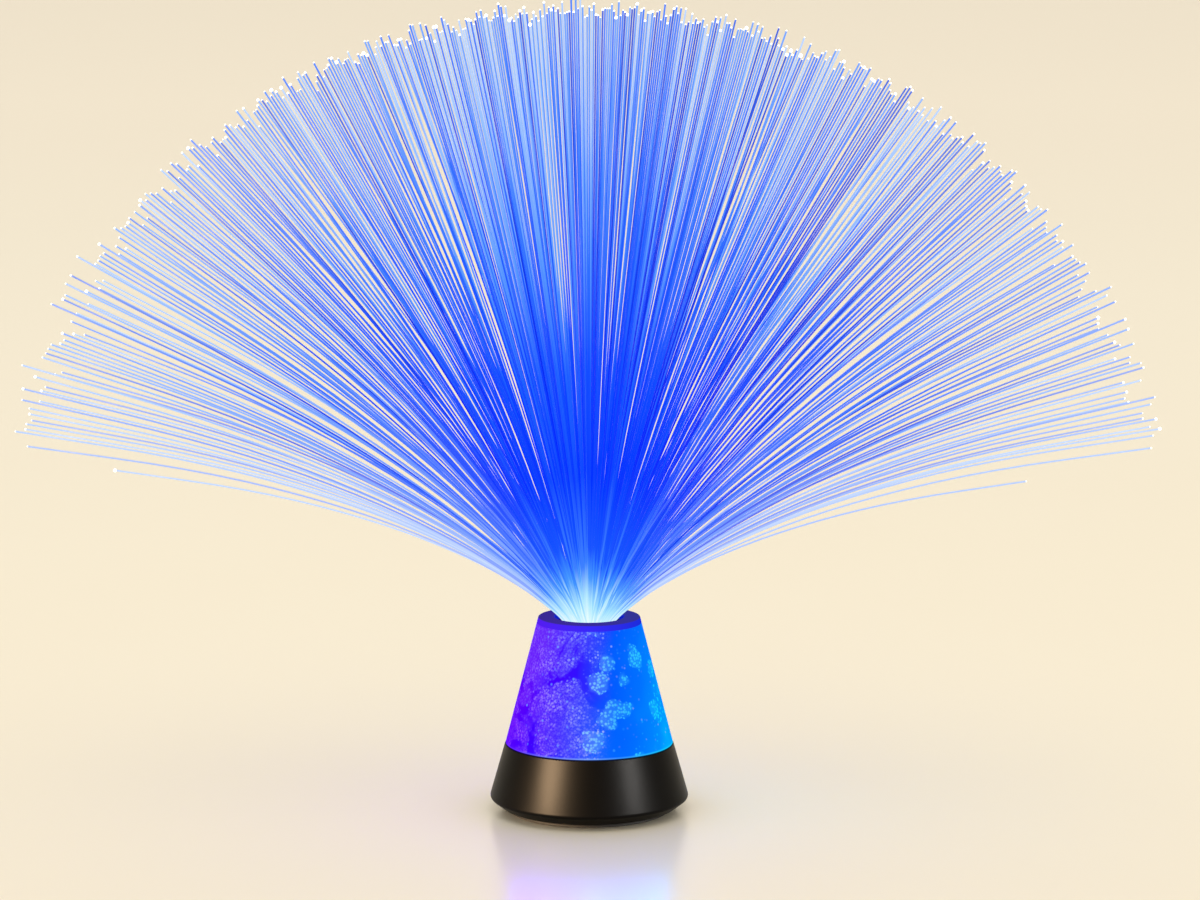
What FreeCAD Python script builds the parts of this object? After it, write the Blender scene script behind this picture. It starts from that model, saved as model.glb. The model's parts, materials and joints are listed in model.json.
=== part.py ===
import FreeCAD, Part
import Sketcher
import math
import os
from FreeCAD import Placement, Rotation, Vector

# Table lamp with a spray of plastic optical fibres, run from three AAA cells.
# Millimetres, +Z up, origin on the table under the middle of the foot, the wide side of the spray along X.

doc = FreeCAD.newDocument("fibre_lamp")
sheet = doc.addObject("Spreadsheet::Sheet", "Sizes")

# Driving sizes: name, value, what it measures
SIZES = [
    ("foot_height", 2.0, "rubber foot, from the table to the underside of the cover"),
    ("foot_clear", 0.3, "foot's ring outside the corners of the door's opening"),
    ("foot_width", 1.8, "width of the foot's ring"),
    ("foot_groove", 0.8, "depth of the foot's seat in the cover"),
    ("foot_edge", 0.35, "softened lower edges of the foot"),
    ("cover_thick", 2.6, "plate of the bottom cover"),
    ("foot_inset", 1.9, "housing's lower lip outside the foot"),
    ("lip_width", 1.2, "width of that lip"),
    ("base_rad", 40.8, "widest radius of the housing, to its sharp edge"),
    ("base_widest_height", 5.6, "height of the widest ring over the table"),
    ("base_edge", 1.6, "rounding of the edge at the widest ring"),
    ("base_top_rad", 34.5, "outer radius where the shade sits"),
    ("base_top_height", 27.7, "height of the shade's seat over the table"),
    ("shell_wall", 2.0, "wall of the housing"),
    ("deck_thick", 2.0, "inner deck of the housing"),
    ("deck_drop", 1.7, "deck's top under the shade's seat"),
    ("spigot_height", 2.4, "ring that centres the shade"),
    ("spigot_wall", 1.5, "wall of that ring"),
    ("boss_angle", 26.0, "screw boss, degrees round from the side"),
    ("boss_margin", 1.4, "screw head's distance from the foot's ring"),
    ("boss_rad", 3.2, "outer radius of a screw boss"),
    ("screw_rad", 1.2, "shank of a cover screw"),
    ("screw_length", 9.0, "shank length of a cover screw"),
    ("screw_head_rad", 2.4, "head of a cover screw"),
    ("screw_head_thick", 1.3, "thickness of that head"),
    ("screw_sink", 0.3, "screw head's depth under the cover's face"),
    ("small_gap", 0.1, "play round a screw's shank"),
    ("fit_gap", 0.3, "play between parts that slip together"),
    ("shade_wall", 1.8, "wall of the printed shade"),
    ("shade_height", 50.0, "height of the shade"),
    ("shade_step", 0.15, "shade's outer face inside the housing's edge"),
    ("shade_top_rad", 21.35, "outer radius of the shade's top"),
    ("cap_band", 2.5, "height of the cap's plain band"),
    ("cap_top_rad", 20.75, "outer radius of the cap's top"),
    ("cap_edge", 0.5, "softened edges of the cap"),
    ("hole_step", 0.4, "cap's hole wider than the socket under it"),
    ("cap_spigot", 3.0, "cap's ring down inside the shade"),
    ("cap_spigot_wall", 1.6, "wall of that ring"),
    ("flange_thick", 1.6, "socket's flange under the cap"),
    ("flange_play", 0.25, "play round the socket's flange"),
    ("socket_wall", 1.5, "wall of the ferrule's socket"),
    ("socket_foot_gap", 0.4, "socket's lower end over the light board"),
    ("seat_width", 2.0, "inner shoulder that the ferrule sits on"),
    ("seat_thick", 1.6, "thickness of that shoulder"),
    ("plug_gap", 0.25, "play between ferrule and socket"),
    ("ferrule_wall", 1.6, "wall of the ferrule"),
    ("ferrule_edge", 0.4, "softened edges of the ferrule"),
    ("ferrule_length", 34.0, "length of the ferrule"),
    ("mouth_depth", 3.0, "ferrule's mouth under the cap's top"),
    ("potting_depth", 2.0, "potting's top under the ferrule's mouth"),
    ("fibre_width", 0.55, "thickness of a fibre"),
    ("fibre_play", 0.04, "least play between two fibres"),
    ("fibre_length", 251.0, "free length of a fibre beyond the ferrule"),
    ("fibre_rings", 12, "rings of fibres round the middle one"),
    ("side_angle", 62.5, "lean of the outermost fibre to the side, degrees"),
    ("depth_angle", 18.0, "lean of the outermost fibre to the front, degrees"),
    ("crowd_share", 0.4, "share of the lean that grows late, so that fibres crowd in the middle"),
    ("trim_share", 0.055, "share by which the fibres at the sides are shorter"),
    ("depth_gain", 0.06, "share by which the fibres at the front and back are longer"),
    ("scatter_share", 0.03, "share by which lengths differ"),
    ("side_stray", 1.0, "most that a fibre strays to either side, degrees"),
    ("depth_stray", 0.3, "most that it strays to the front or back, degrees"),
    ("bay_wall", 1.8, "walls of the battery bay"),
    ("bay_play", 0.5, "play round the cells"),
    ("cell_rad", 5.25, "radius of an AAA cell"),
    ("cell_length", 44.5, "length of an AAA cell"),
    ("cell_between", 0.3, "room between two cells"),
    ("cell_nub_rad", 1.9, "radius of a cell's button"),
    ("cell_nub", 0.8, "height of that button"),
    ("contact_room", 2.4, "room for a contact at each end of the bay"),
    ("contact_thick", 0.4, "metal of the contacts"),
    ("contact_width", 6.0, "width and height of a contact"),
    ("pad_face", 2.1, "height of the raised face that a cell's button touches"),
    ("leaf_tip", 0.6, "height of the fold that presses on a cell's flat end"),
    ("bridge_height", 2.4, "height of the bar that joins two contacts"),
    ("tab_width", 2.4, "width of a solder tab"),
    ("tab_rise", 3.4, "solder tab over the bay's roof"),
    ("door_thick", 2.0, "battery door"),
    ("door_margin", 0.6, "door's edge beyond the bay's inner wall"),
    ("door_gap", 0.3, "play round the door"),
    ("door_corner", 2.5, "rounded corners of the door"),
    ("recess_width", 10.0, "fingertip recess of the door"),
    ("recess_length", 4.0, "fingertip recess, front to back"),
    ("recess_depth", 0.9, "fingertip recess, into the door"),
    ("recess_inset", 2.0, "fingertip recess, from the door's free edge"),
    ("hinge_pin_rad", 0.65, "pins of the door"),
    ("hinge_pin", 1.1, "length of each pin"),
    ("switch_inset", 4.3, "switch's distance from the battery bay"),
    ("switch_width", 4.4, "switch body, sideways"),
    ("switch_length", 9.4, "switch body, along its travel"),
    ("switch_height", 4.6, "switch body"),
    ("switch_wall", 0.7, "wall of the switch body"),
    ("pin_width", 1.2, "solder pin of the switch"),
    ("pin_thick", 0.6, "thickness of that pin"),
    ("knob_width", 2.0, "switch knob, sideways"),
    ("knob_length", 3.2, "switch knob, along its travel"),
    ("knob_drop", 1.0, "knob below the cover's face"),
    ("knob_base", 1.2, "knob's plate inside the switch"),
    ("knob_plate", 4.2, "length of that plate"),
    ("knob_travel", 2.4, "travel of the switch"),
    ("knob_gap", 0.25, "play round the knob"),
    ("tray_thick", 1.2, "floor of the reflector"),
    ("tray_rim", 3.2, "height of the reflector's rim"),
    ("tray_rim_wall", 1.2, "wall of that rim"),
    ("post_height", 1.8, "posts under the light board"),
    ("post_rad", 2.6, "radius of those posts"),
    ("board_rad", 20.0, "light board"),
    ("board_thick", 1.6, "thickness of the light board"),
    ("board_screw_inset", 2.8, "its screws, from its edge"),
    ("board_screw_rad", 0.9, "shank of a board screw"),
    ("board_screw_head", 1.8, "head of a board screw"),
    ("board_screw_head_thick", 1.0, "thickness of that head"),
    ("main_led_size", 5.0, "light under the bundle, square"),
    ("main_led_height", 1.6, "its height"),
    ("main_led_case", 1.1, "its case without the lens"),
    ("ring_led_inset", 3.4, "the shade's lights, from the board's edge"),
    ("ring_led_length", 3.5, "a light of the shade, along the ring"),
    ("ring_led_width", 2.8, "the same, across"),
    ("ring_led_height", 1.2, "its height"),
    ("ring_led_case", 0.9, "its case without the lens"),
    ("lens_share", 0.36, "lens of a light, as a share of its width"),
    ("chip_length", 5.0, "controller chip"),
    ("chip_width", 4.0, "controller chip, across"),
    ("chip_height", 1.5, "controller chip, over the board"),
    ("chip_y", 8.0, "controller chip, from the middle"),
    ("wire_rad", 0.6, "insulated wire"),
    ("wire_bend", 2.4, "bend of a wire"),
    ("wire_hole_rad", 1.6, "hole that a wire passes through"),
    ("wire_in", 7.0, "where the black wire rises, in front of the middle"),
]
for row, (alias, value, meaning) in enumerate(SIZES, start=1):
    sheet.set(f"A{row}", meaning)
    sheet.set(f"B{row}", str(value))
    sheet.setAlias(f"B{row}", alias)
doc.recompute()


class Size:
    """A size read from the sheet, with the expression that says where it comes from."""

    def __init__(self, value, text):
        self.value = float(value)
        self.text = text

    def _with(self, other, sign, value, turned=False):
        other_text = other.text if isinstance(other, Size) else repr(float(other))
        first, second = (other_text, self.text) if turned else (self.text, other_text)
        return Size(value, f"({first} {sign} {second})")

    def __add__(self, other):
        return self._with(other, "+", self.value + float(other))

    def __radd__(self, other):
        return self._with(other, "+", float(other) + self.value, turned=True)

    def __sub__(self, other):
        return self._with(other, "-", self.value - float(other))

    def __rsub__(self, other):
        return self._with(other, "-", float(other) - self.value, turned=True)

    def __mul__(self, other):
        return self._with(other, "*", self.value * float(other))

    def __rmul__(self, other):
        return self._with(other, "*", float(other) * self.value, turned=True)

    def __truediv__(self, other):
        return self._with(other, "/", self.value / float(other))

    def __neg__(self):
        return Size(-self.value, f"(0 - {self.text})")

    def __float__(self):
        return self.value


def size(alias):
    return Size(getattr(sheet, alias), f"Sizes.{alias}")


def hypot(across, along):
    return Size(math.hypot(float(across), float(along)), f"hypot({across.text}; {along.text})")


ZERO = Size(0.0, "0")
# how near an edge must lie to the place where it is looked for
NEAR = 0.01
parts = {}


def bind(thing, prop, length):
    thing.setExpression(prop, length.text if isinstance(length, Size) else repr(float(length)))


def place(thing, x=ZERO, y=ZERO, z=ZERO, prop="Placement"):
    for axis, length in zip("xyz", (x, y, z)):
        bind(thing, f"{prop}.Base.{axis}", length)


def origin_plane(body, role):
    return next(f for f in body.Origin.OriginFeatures if f.Role == role)


def new_body(name):
    body = doc.addObject("PartDesign::Body", name)
    body.Label = name
    parts[name] = body
    return body


def new_sketch(body, name, role, height=ZERO):
    sketch = body.newObject("Sketcher::SketchObject", name)
    sketch.AttachmentSupport = [(origin_plane(body, role), "")]
    sketch.MapMode = "FlatFace"
    bind(sketch, "AttachmentOffset.Base.z", height)
    return sketch


def tie_point(sketch, line, end, x, y):
    """Tie one end of a line, or a circle's centre, to its distances from the sketch's origin."""
    for kind, axis, length in (("DistanceX", -2, x), ("DistanceY", -1, y)):
        if abs(float(length)) < 1e-9:
            sketch.addConstraint(Sketcher.Constraint("PointOnObject", line, end, axis))
            continue
        ahead = float(length) > 0
        far = length if ahead else -length
        order = (-1, 1, line, end) if ahead else (line, end, -1, 1)
        index = sketch.addConstraint(Sketcher.Constraint(kind, *order, abs(float(length))))
        bind(sketch, f"Constraints[{index}]", far)


def draw_loop(sketch, corners):
    """A closed loop of lines through corners given as pairs of sizes."""
    first = sketch.GeometryCount
    spots = [Vector(float(x), float(y), 0) for x, y in corners]
    for a, b in zip(spots, spots[1:] + spots[:1]):
        sketch.addGeometry(Part.LineSegment(a, b))
    count = len(corners)
    for i in range(count):
        sketch.addConstraint(
            Sketcher.Constraint("Coincident", first + i, 2, first + (i + 1) % count, 1)
        )
    for i, (x, y) in enumerate(corners):
        tie_point(sketch, first + i, 1, x, y)


def draw_box(sketch, x, y, half_x, half_y):
    draw_loop(
        sketch,
        [
            (x - half_x, y - half_y),
            (x + half_x, y - half_y),
            (x + half_x, y + half_y),
            (x - half_x, y + half_y),
        ],
    )


def draw_circle(sketch, x, y, rad):
    line = sketch.addGeometry(
        Part.Circle(Vector(float(x), float(y), 0), Vector(0, 0, 1), float(rad))
    )
    tie_point(sketch, line, 3, x, y)
    index = sketch.addConstraint(Sketcher.Constraint("Radius", line, float(rad)))
    bind(sketch, f"Constraints[{index}]", rad)


def revolve(body, name, corners, cut=False):
    """Turn a closed profile of (radius, height) pairs round the lamp's axis."""
    sketch = new_sketch(body, f"{name}_profile", "XZ_Plane")
    draw_loop(sketch, corners)
    feature = body.newObject("PartDesign::Groove" if cut else "PartDesign::Revolution", name)
    feature.Profile = sketch
    feature.ReferenceAxis = (sketch, ["V_Axis"])
    feature.Angle = 360.0
    return feature


def extrude(body, name, draw, bottom, height, cut=False):
    """Raise, or cut, what draw puts in a sketch from bottom up by height."""
    sketch = new_sketch(body, f"{name}_outline", "XY_Plane", bottom)
    draw(sketch)
    feature = body.newObject("PartDesign::Pocket" if cut else "PartDesign::Pad", name)
    feature.Profile = sketch
    bind(feature, "Length", height)
    feature.Reversed = cut
    return feature


def round_edges(body, name, base, rad, wanted, kind="PartDesign::Fillet", prop="Radius"):
    """Soften the edges of a feature that the function wanted picks."""
    doc.recompute()
    edges = [f"Edge{i + 1}" for i, edge in enumerate(base.Shape.Edges) if wanted(edge)]
    feature = body.newObject(kind, name)
    feature.Base = (base, edges)
    bind(feature, prop, rad)
    return feature


def ring_edge(rad, height):
    """Picks the closed circular edge of that radius and height."""

    def wanted(edge):
        curve = edge.Curve
        return (
            curve.TypeId == "Part::GeomCircle"
            and abs(curve.Radius - float(rad)) < NEAR
            and abs(curve.Center.z - float(height)) < NEAR
            and math.hypot(curve.Center.x, curve.Center.y) < NEAR
        )

    return wanted


def upright_edge(y):
    """Picks the upright straight edges at that distance behind the middle."""

    def wanted(edge):
        spots = [v.Point for v in edge.Vertexes]
        return (
            len(spots) == 2
            and math.hypot(spots[0].x - spots[1].x, spots[0].y - spots[1].y) < NEAR
            and abs(spots[0].y - float(y)) < NEAR
        )

    return wanted


def cylinder(name, rad, height, x=ZERO, y=ZERO, z=ZERO, turn=None):
    thing = doc.addObject("Part::Cylinder", name)
    bind(thing, "Radius", rad)
    bind(thing, "Height", height)
    if turn:
        thing.Placement = Placement(Vector(), turn)
    place(thing, x, y, z)
    return thing


def box(name, length, width, height, x, y, z):
    """A box centred on x and y that stands at z."""
    thing = doc.addObject("Part::Box", name)
    bind(thing, "Length", length)
    bind(thing, "Width", width)
    bind(thing, "Height", height)
    place(thing, x - length / 2, y - width / 2, z)
    return thing


def fuse(name, *things):
    joined = doc.addObject("Part::MultiFuse", name)
    joined.Shapes = list(things)
    return joined


def cut(name, base, tool):
    rest = doc.addObject("Part::Cut", name)
    rest.Base, rest.Tool = base, tool
    return rest


def group(name, *things):
    """Separate solids that share one node."""
    bunch = doc.addObject("Part::Compound", name)
    bunch.Links = list(things)
    parts[name] = bunch
    return bunch


def keep(name, thing):
    thing.Label = name
    parts[name] = thing
    return thing


# Heights and radii that follow from the driving sizes
cover_top = size("foot_height") + size("cover_thick")
seat = size("base_top_height")
deck_top = seat - size("deck_drop")
deck_bottom = deck_top - size("deck_thick")
base_lean = (size("base_rad") - size("base_top_rad")) / (seat - size("base_widest_height"))
shade_foot_rad = size("base_top_rad") - size("shade_step")
shade_top = seat + size("shade_height")
shade_lean = (shade_foot_rad - size("shade_top_rad")) / size("shade_height")
spigot_rad = shade_foot_rad - size("shade_wall") - shade_lean * size("spigot_height") - size("fit_gap")
cap_top = shade_top + size("cap_band")
mouth = cap_top - size("mouth_depth")
fibre_pitch = size("fibre_width") * math.sqrt(2) + size("fibre_play")
bundle_rad = fibre_pitch * size("fibre_rings")
ferrule_bore = bundle_rad + size("fibre_width") * math.sqrt(0.5) + size("fibre_play")
ferrule_rad = ferrule_bore + size("ferrule_wall")
socket_bore = ferrule_rad + size("plug_gap")
socket_rad = socket_bore + size("socket_wall")
ferrule_foot = mouth - size("ferrule_length")
potting_top = mouth - size("potting_depth")
tray_top = deck_top + size("tray_thick")
board_foot = tray_top + size("post_height")
board_top = board_foot + size("board_thick")
cell_pitch = size("cell_rad") * 2 + size("cell_between")
bay_half_x = cell_pitch + size("cell_rad") + size("bay_play") / 2
bay_half_y = size("cell_length") / 2 + size("contact_room")
door_top = size("foot_height") + size("door_thick")
cell_height = door_top + size("bay_play") + size("cell_rad")
bay_top = cell_height + size("cell_rad") + size("bay_play")
roof_top = bay_top + size("bay_wall")
door_half_x = bay_half_x + size("door_margin")
door_half_y = bay_half_y + size("door_margin")
opening_x = door_half_x + size("door_gap")
opening_y = door_half_y + size("door_gap")
foot_inner = hypot(opening_x, opening_y) + size("foot_clear")
foot_rad = foot_inner + size("foot_width")
lip_rad = foot_rad + size("foot_inset")
boss_circle = foot_inner - size("screw_head_rad") - size("boss_margin")
switch_x = bay_half_x + size("bay_wall") + size("switch_inset") + size("switch_width") / 2
switch_foot = cover_top
switch_pin_y = size("switch_length") / 4
board_screw_circle = size("board_rad") - size("board_screw_inset")
ring_led_circle = size("board_rad") - size("ring_led_inset")


def base_rad_at(height):
    return size("base_rad") - base_lean * (height - size("base_widest_height"))


def shade_rad_at(height):
    return shade_foot_rad - shade_lean * (height - seat)


def make_base_shell():
    """Moulded housing: lip, softened widest ring, cone, shade seat, spigot, inner deck and four bosses."""
    body = new_body("base_shell")
    wall = size("shell_wall")
    widest = size("base_widest_height")
    foot = size("foot_height")
    turned = revolve(body, "shell_turn", [
        (lip_rad, foot),
        (lip_rad + size("lip_width"), foot),
        (size("base_rad"), widest),
        (size("base_top_rad"), seat),
        (spigot_rad, seat),
        (spigot_rad, seat + size("spigot_height")),
        (spigot_rad - size("spigot_wall"), seat + size("spigot_height")),
        (spigot_rad - size("spigot_wall"), deck_top),
        (ZERO, deck_top),
        (ZERO, deck_bottom),
        (base_rad_at(deck_bottom) - wall, deck_bottom),
        (size("base_rad") - wall, widest),
        (lip_rad, cover_top),
    ])
    round_edges(body, "widest_ring", turned, size("base_edge"), ring_edge(size("base_rad"), widest))
    spots = boss_spots()
    extrude(body, "bosses", circles(spots, size("boss_rad")), cover_top,
            deck_bottom - cover_top + size("deck_thick") / 2)
    extrude(body, "pilot_holes", circles(spots, size("screw_rad") + size("small_gap")), cover_top,
            size("screw_length") + size("fit_gap"), cut=True)
    extrude(body, "wire_holes", circles(wire_spots(), size("wire_hole_rad")), deck_bottom,
            size("deck_thick"), cut=True)
    extrude(body, "board_pilots", circles(board_screw_spots(), size("board_screw_rad") + size("small_gap")),
            deck_bottom, size("deck_thick"), cut=True)


def boss_spots():
    turn = math.radians(float(size("boss_angle")))
    x, y = boss_circle * math.cos(turn), boss_circle * math.sin(turn)
    return [(x, y), (x, -y), (-x, y), (-x, -y)]


def board_screw_spots():
    turns = [math.radians(angle) for angle in (90, 210, 330)]
    return [(board_screw_circle * math.cos(turn), board_screw_circle * math.sin(turn)) for turn in turns]


def wire_spots():
    """Where two wires rise through the deck: from the black contact, and from the switch."""
    return [(-cell_pitch, -size("wire_in")), (cell_pitch, -switch_pin_y)]


def make_bottom_cover():
    """Cover plate with the battery bay moulded on it, the door's opening, hinge holes and switch slot."""
    body = new_body("bottom_cover")
    foot = size("foot_height")
    rim = lip_rad - size("fit_gap")
    groove = foot + size("foot_groove")
    revolve(body, "cover_turn", [
        (ZERO, foot), (foot_inner, foot), (foot_inner, groove), (foot_rad, groove), (foot_rad, foot),
        (rim, foot), (rim, cover_top), (ZERO, cover_top),
    ])
    outer_x = bay_half_x + size("bay_wall")
    outer_y = bay_half_y + size("bay_wall")
    extrude(body, "bay_block", lambda s: draw_box(s, ZERO, ZERO, outer_x, outer_y),
            cover_top - size("cover_thick") / 2, roof_top - cover_top + size("cover_thick") / 2)
    ledge = door_top + size("door_gap")
    opening = extrude(body, "door_opening", lambda s: draw_box(s, ZERO, ZERO, opening_x, opening_y),
                      foot, ledge - foot, cut=True)
    round_edges(body, "opening_corners", opening, size("door_corner"), upright_edge(opening_y))
    extrude(body, "bay_room", lambda s: draw_box(s, ZERO, ZERO, bay_half_x, bay_half_y),
            foot, bay_top - foot, cut=True)
    slot_y = size("knob_length") + size("knob_travel") + size("knob_gap") * 2
    slot_x = size("knob_width") + size("knob_gap") * 2
    extrude(body, "switch_slot",
            lambda s: draw_box(s, switch_x, ZERO, slot_x / 2, slot_y / 2),
            foot, size("cover_thick"), cut=True)
    extrude(body, "screw_holes", circles(boss_spots(), size("screw_rad") + size("small_gap")), foot,
            size("cover_thick"), cut=True)
    extrude(body, "screw_seats", circles(boss_spots(), size("screw_head_rad") + size("fit_gap")), foot,
            size("screw_sink") + size("screw_head_thick"), cut=True)
    hinge_holes(body)
    tab_slots(body)


def circles(spots, rad):
    """Draws a circle of that radius at each spot of a sketch."""

    def draw(sketch):
        for x, y in spots:
            draw_circle(sketch, x, y, rad)

    return draw


def hinge_axis():
    """Y and Z of the door's hinge line."""
    half = size("door_thick") / 2
    return -door_half_y + half, size("foot_height") + half


def hinge_holes(body):
    """Blind holes in the sides of the door's opening for its two pins."""
    y, z = hinge_axis()
    reach = door_half_x + size("door_gap") + size("hinge_pin")
    sketch = new_sketch(body, "hinge_holes_outline", "YZ_Plane")
    draw_circle(sketch, y, z, size("hinge_pin_rad") + size("small_gap"))
    feature = body.newObject("PartDesign::Pocket", "hinge_holes")
    feature.Profile = sketch
    bind(feature, "Length", reach * 2)
    feature.Midplane = True


def tab_spots():
    """Middle of the solder tabs: the red one behind on the right, the black one in front on the left."""
    inset = bay_half_y - size("contact_thick") / 2
    return [(cell_pitch, inset), (-cell_pitch, -inset)]


def tab_slots(body):
    """Slots in the bay's roof that the solder tabs stand in."""

    def draw(sketch):
        for x, y in tab_spots():
            draw_box(sketch, x, y, size("tab_width") / 2 + size("small_gap"),
                     size("contact_thick") / 2)

    extrude(body, "tab_slots", draw, bay_top, size("bay_wall"), cut=True)


def make_foot_ring():
    """Rubber ring in the cover's groove."""
    body = new_body("foot_ring")
    top = size("foot_height") + size("foot_groove")
    edge = size("foot_edge")
    revolve(body, "foot_turn", [
        (foot_inner + edge, ZERO), (foot_rad - edge, ZERO), (foot_rad, edge),
        (foot_rad, top), (foot_inner, top), (foot_inner, edge),
    ])


def make_cover_screws():
    """Four pan-head screws from below, up into the bosses."""
    face = size("foot_height") + size("screw_sink")
    screws = []
    for i, (x, y) in enumerate(boss_spots()):
        head = cylinder(f"screw_head_{i}", size("screw_head_rad"), size("screw_head_thick"), x, y, face)
        shank = cylinder(f"screw_shank_{i}", size("screw_rad"),
                         size("screw_length") + size("screw_head_thick") / 2, x, y,
                         face + size("screw_head_thick") / 2)
        screws.append(fuse(f"cover_screw_{i}", head, shank))
    group("cover_screws", *screws)


def make_cells():
    """Three AAA cells side by side, turned head to tail."""
    length = size("cell_length") - size("cell_nub")
    cells = (("battery_left", -1, 1), ("battery_middle", 0, -1), ("battery_right", 1, 1))
    for name, column, ahead in cells:
        turn = Rotation(Vector(1, 0, 0), -90 * ahead)
        x = cell_pitch * column
        start = size("cell_length") * (-0.5 * ahead)
        can = cylinder(f"{name}_can", size("cell_rad"), length, x, start, cell_height, turn)
        nub = cylinder(f"{name}_button", size("cell_nub_rad"), size("cell_length"), x, start,
                       cell_height, turn)
        keep(name, fuse(name, can, nub))


def strip(outline, width, x):
    """A strip of contact metal: an outline in the YZ plane, extruded along X about x."""
    face = Part.Face(Part.makePolygon([Vector(0, y, z) for y, z in outline + outline[:1]]))
    solid = face.extrude(Vector(width, 0, 0))
    solid.translate(Vector(x - width / 2, 0, 0))
    return solid


def contact_places(end):
    """Y of the bay's end wall, a contact's inner face and a cell's end; Z of its foot, middle and top."""
    wall = float(bay_half_y) * end
    inner = wall - float(size("contact_thick")) * end
    reach = float(size("cell_length")) / 2 * end
    middle = float(cell_height)
    half = float(size("contact_width")) / 2
    return wall, inner, reach, middle - half, middle, middle + half


def plate_pad(x, end):
    """Flat pad against the bay's end wall, with the raised face that a cell's button touches."""
    wall, inner, reach, low, middle, high = contact_places(end)
    face = float(size("pad_face")) / 2
    outline = [
        (wall, low), (wall, high), (inner, high), (reach, middle + face), (reach, middle - face),
        (inner, low),
    ]
    return strip(outline, float(size("contact_width")), x)


def spring_leaf(x, end):
    """Leaf that presses on a cell's flat end: up the wall, folded over and down to the cell."""
    wall, inner, reach, low, middle, high = contact_places(end)
    thick = float(size("contact_thick"))
    tip = float(size("leaf_tip")) / 2
    outline = [
        (wall, low), (wall, high), (inner, high), (reach, middle + tip), (reach, middle - tip),
        (inner - thick * end, low), (inner - thick * end, low + thick),
        (reach + thick * end, middle - tip), (reach + thick * end, middle + tip),
        (inner, high - thick * 2), (inner, low),
    ]
    return strip(outline, float(size("contact_width")), x)


def bridge_bar(x_a, x_b, end):
    """Bar along the end wall that joins two contacts at their feet."""
    wall, inner, _, low, _, _ = contact_places(end)
    top = low + float(size("bridge_height"))
    outline = [(wall, low), (wall, top), (inner, top), (inner, low)]
    return strip(outline, abs(x_b - x_a), (x_a + x_b) / 2)


def solder_tab(spot):
    """Tab from a pad's top up through the roof's slot."""
    x, y = float(spot[0]), float(spot[1])
    thick = float(size("contact_thick"))
    low = float(cell_height) + float(size("contact_width")) / 2
    high = float(roof_top) + float(size("tab_rise"))
    front, rear = y - thick / 2, y + thick / 2
    outline = [(front, low), (rear, low), (rear, high), (front, high)]
    return strip(outline, float(size("tab_width")), x)


def feature(name, shape):
    thing = doc.addObject("Part::Feature", name)
    thing.Shape = shape
    return keep(name, thing)


def make_contacts():
    """Two end contacts with solder tabs, and two bridges that put the cells in series."""
    pitch = float(cell_pitch)
    red, black = tab_spots()
    feature("contact_positive", plate_pad(pitch, 1).fuse(solder_tab(red)).removeSplitter())
    feature("contact_negative", spring_leaf(-pitch, -1).fuse(solder_tab(black)).removeSplitter())
    rear = [spring_leaf(0, 1), plate_pad(-pitch, 1), bridge_bar(-pitch, 0, 1)]
    front = [plate_pad(0, -1), spring_leaf(pitch, -1), bridge_bar(0, pitch, -1)]
    for name, pieces in (("bridge_rear", rear), ("bridge_front", front)):
        feature(name, pieces[0].fuse(pieces[1:]).removeSplitter())


def make_battery_door():
    """Door flush with the cover: full-round hinge edge, two pins and a fingertip recess."""
    body = new_body("battery_door")
    y_hinge, z_hinge = hinge_axis()
    foot = size("foot_height")
    middle = (y_hinge + door_half_y) / 2
    half = (door_half_y - y_hinge) / 2
    plate = extrude(body, "door_plate", lambda s: draw_box(s, ZERO, middle, door_half_x, half),
                    foot, size("door_thick"))
    round_edges(body, "door_corners", plate, size("door_corner"), upright_edge(door_half_y))
    for name, rad, half_length in (
        ("hinge_bead", size("door_thick") / 2, door_half_x),
        ("hinge_pins", size("hinge_pin_rad"), door_half_x + size("hinge_pin")),
    ):
        sketch = new_sketch(body, f"{name}_outline", "YZ_Plane")
        draw_circle(sketch, y_hinge, z_hinge, rad)
        pad = body.newObject("PartDesign::Pad", name)
        pad.Profile = sketch
        bind(pad, "Length", half_length * 2)
        pad.Midplane = True
    reach = door_half_y - size("recess_inset") - size("recess_length") / 2
    extrude(body, "finger_recess",
            lambda s: draw_box(s, ZERO, reach, size("recess_width") / 2, size("recess_length") / 2),
            foot, size("recess_depth"), cut=True)


def make_switch():
    """Slide switch on the cover, and the knob that pokes out of its slot below."""
    x, wall = switch_x, size("switch_wall")
    block = box("switch_block", size("switch_width"), size("switch_length"), size("switch_height"),
                x, ZERO, switch_foot)
    room = box("switch_room", size("switch_width") - wall * 2, size("switch_length") - wall * 2,
               size("knob_base") + size("knob_gap") * 2, x, ZERO, switch_foot)
    pins = [
        box(f"switch_pin_{i}", size("pin_thick"), size("pin_width"), size("pin_width"), x,
            switch_pin_y * side, switch_foot + size("switch_height"))
        for i, side in enumerate((-1, 1))
    ]
    hollow = cut("switch_hollow", block, room)
    keep("switch_body", fuse("switch_body", hollow, *pins))
    rest = -size("knob_travel") / 2
    plate = box("knob_plate", size("switch_width") - wall * 2 - size("knob_gap") * 2,
                size("knob_plate"), size("knob_base"), x, rest, switch_foot + size("knob_gap"))
    tip = size("foot_height") - size("knob_drop")
    finger = box("knob_finger", size("knob_width"), size("knob_length"),
                 switch_foot + size("knob_gap") * 2 - tip, x, rest, tip)
    keep("switch_knob", fuse("switch_knob", plate, finger))


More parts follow.
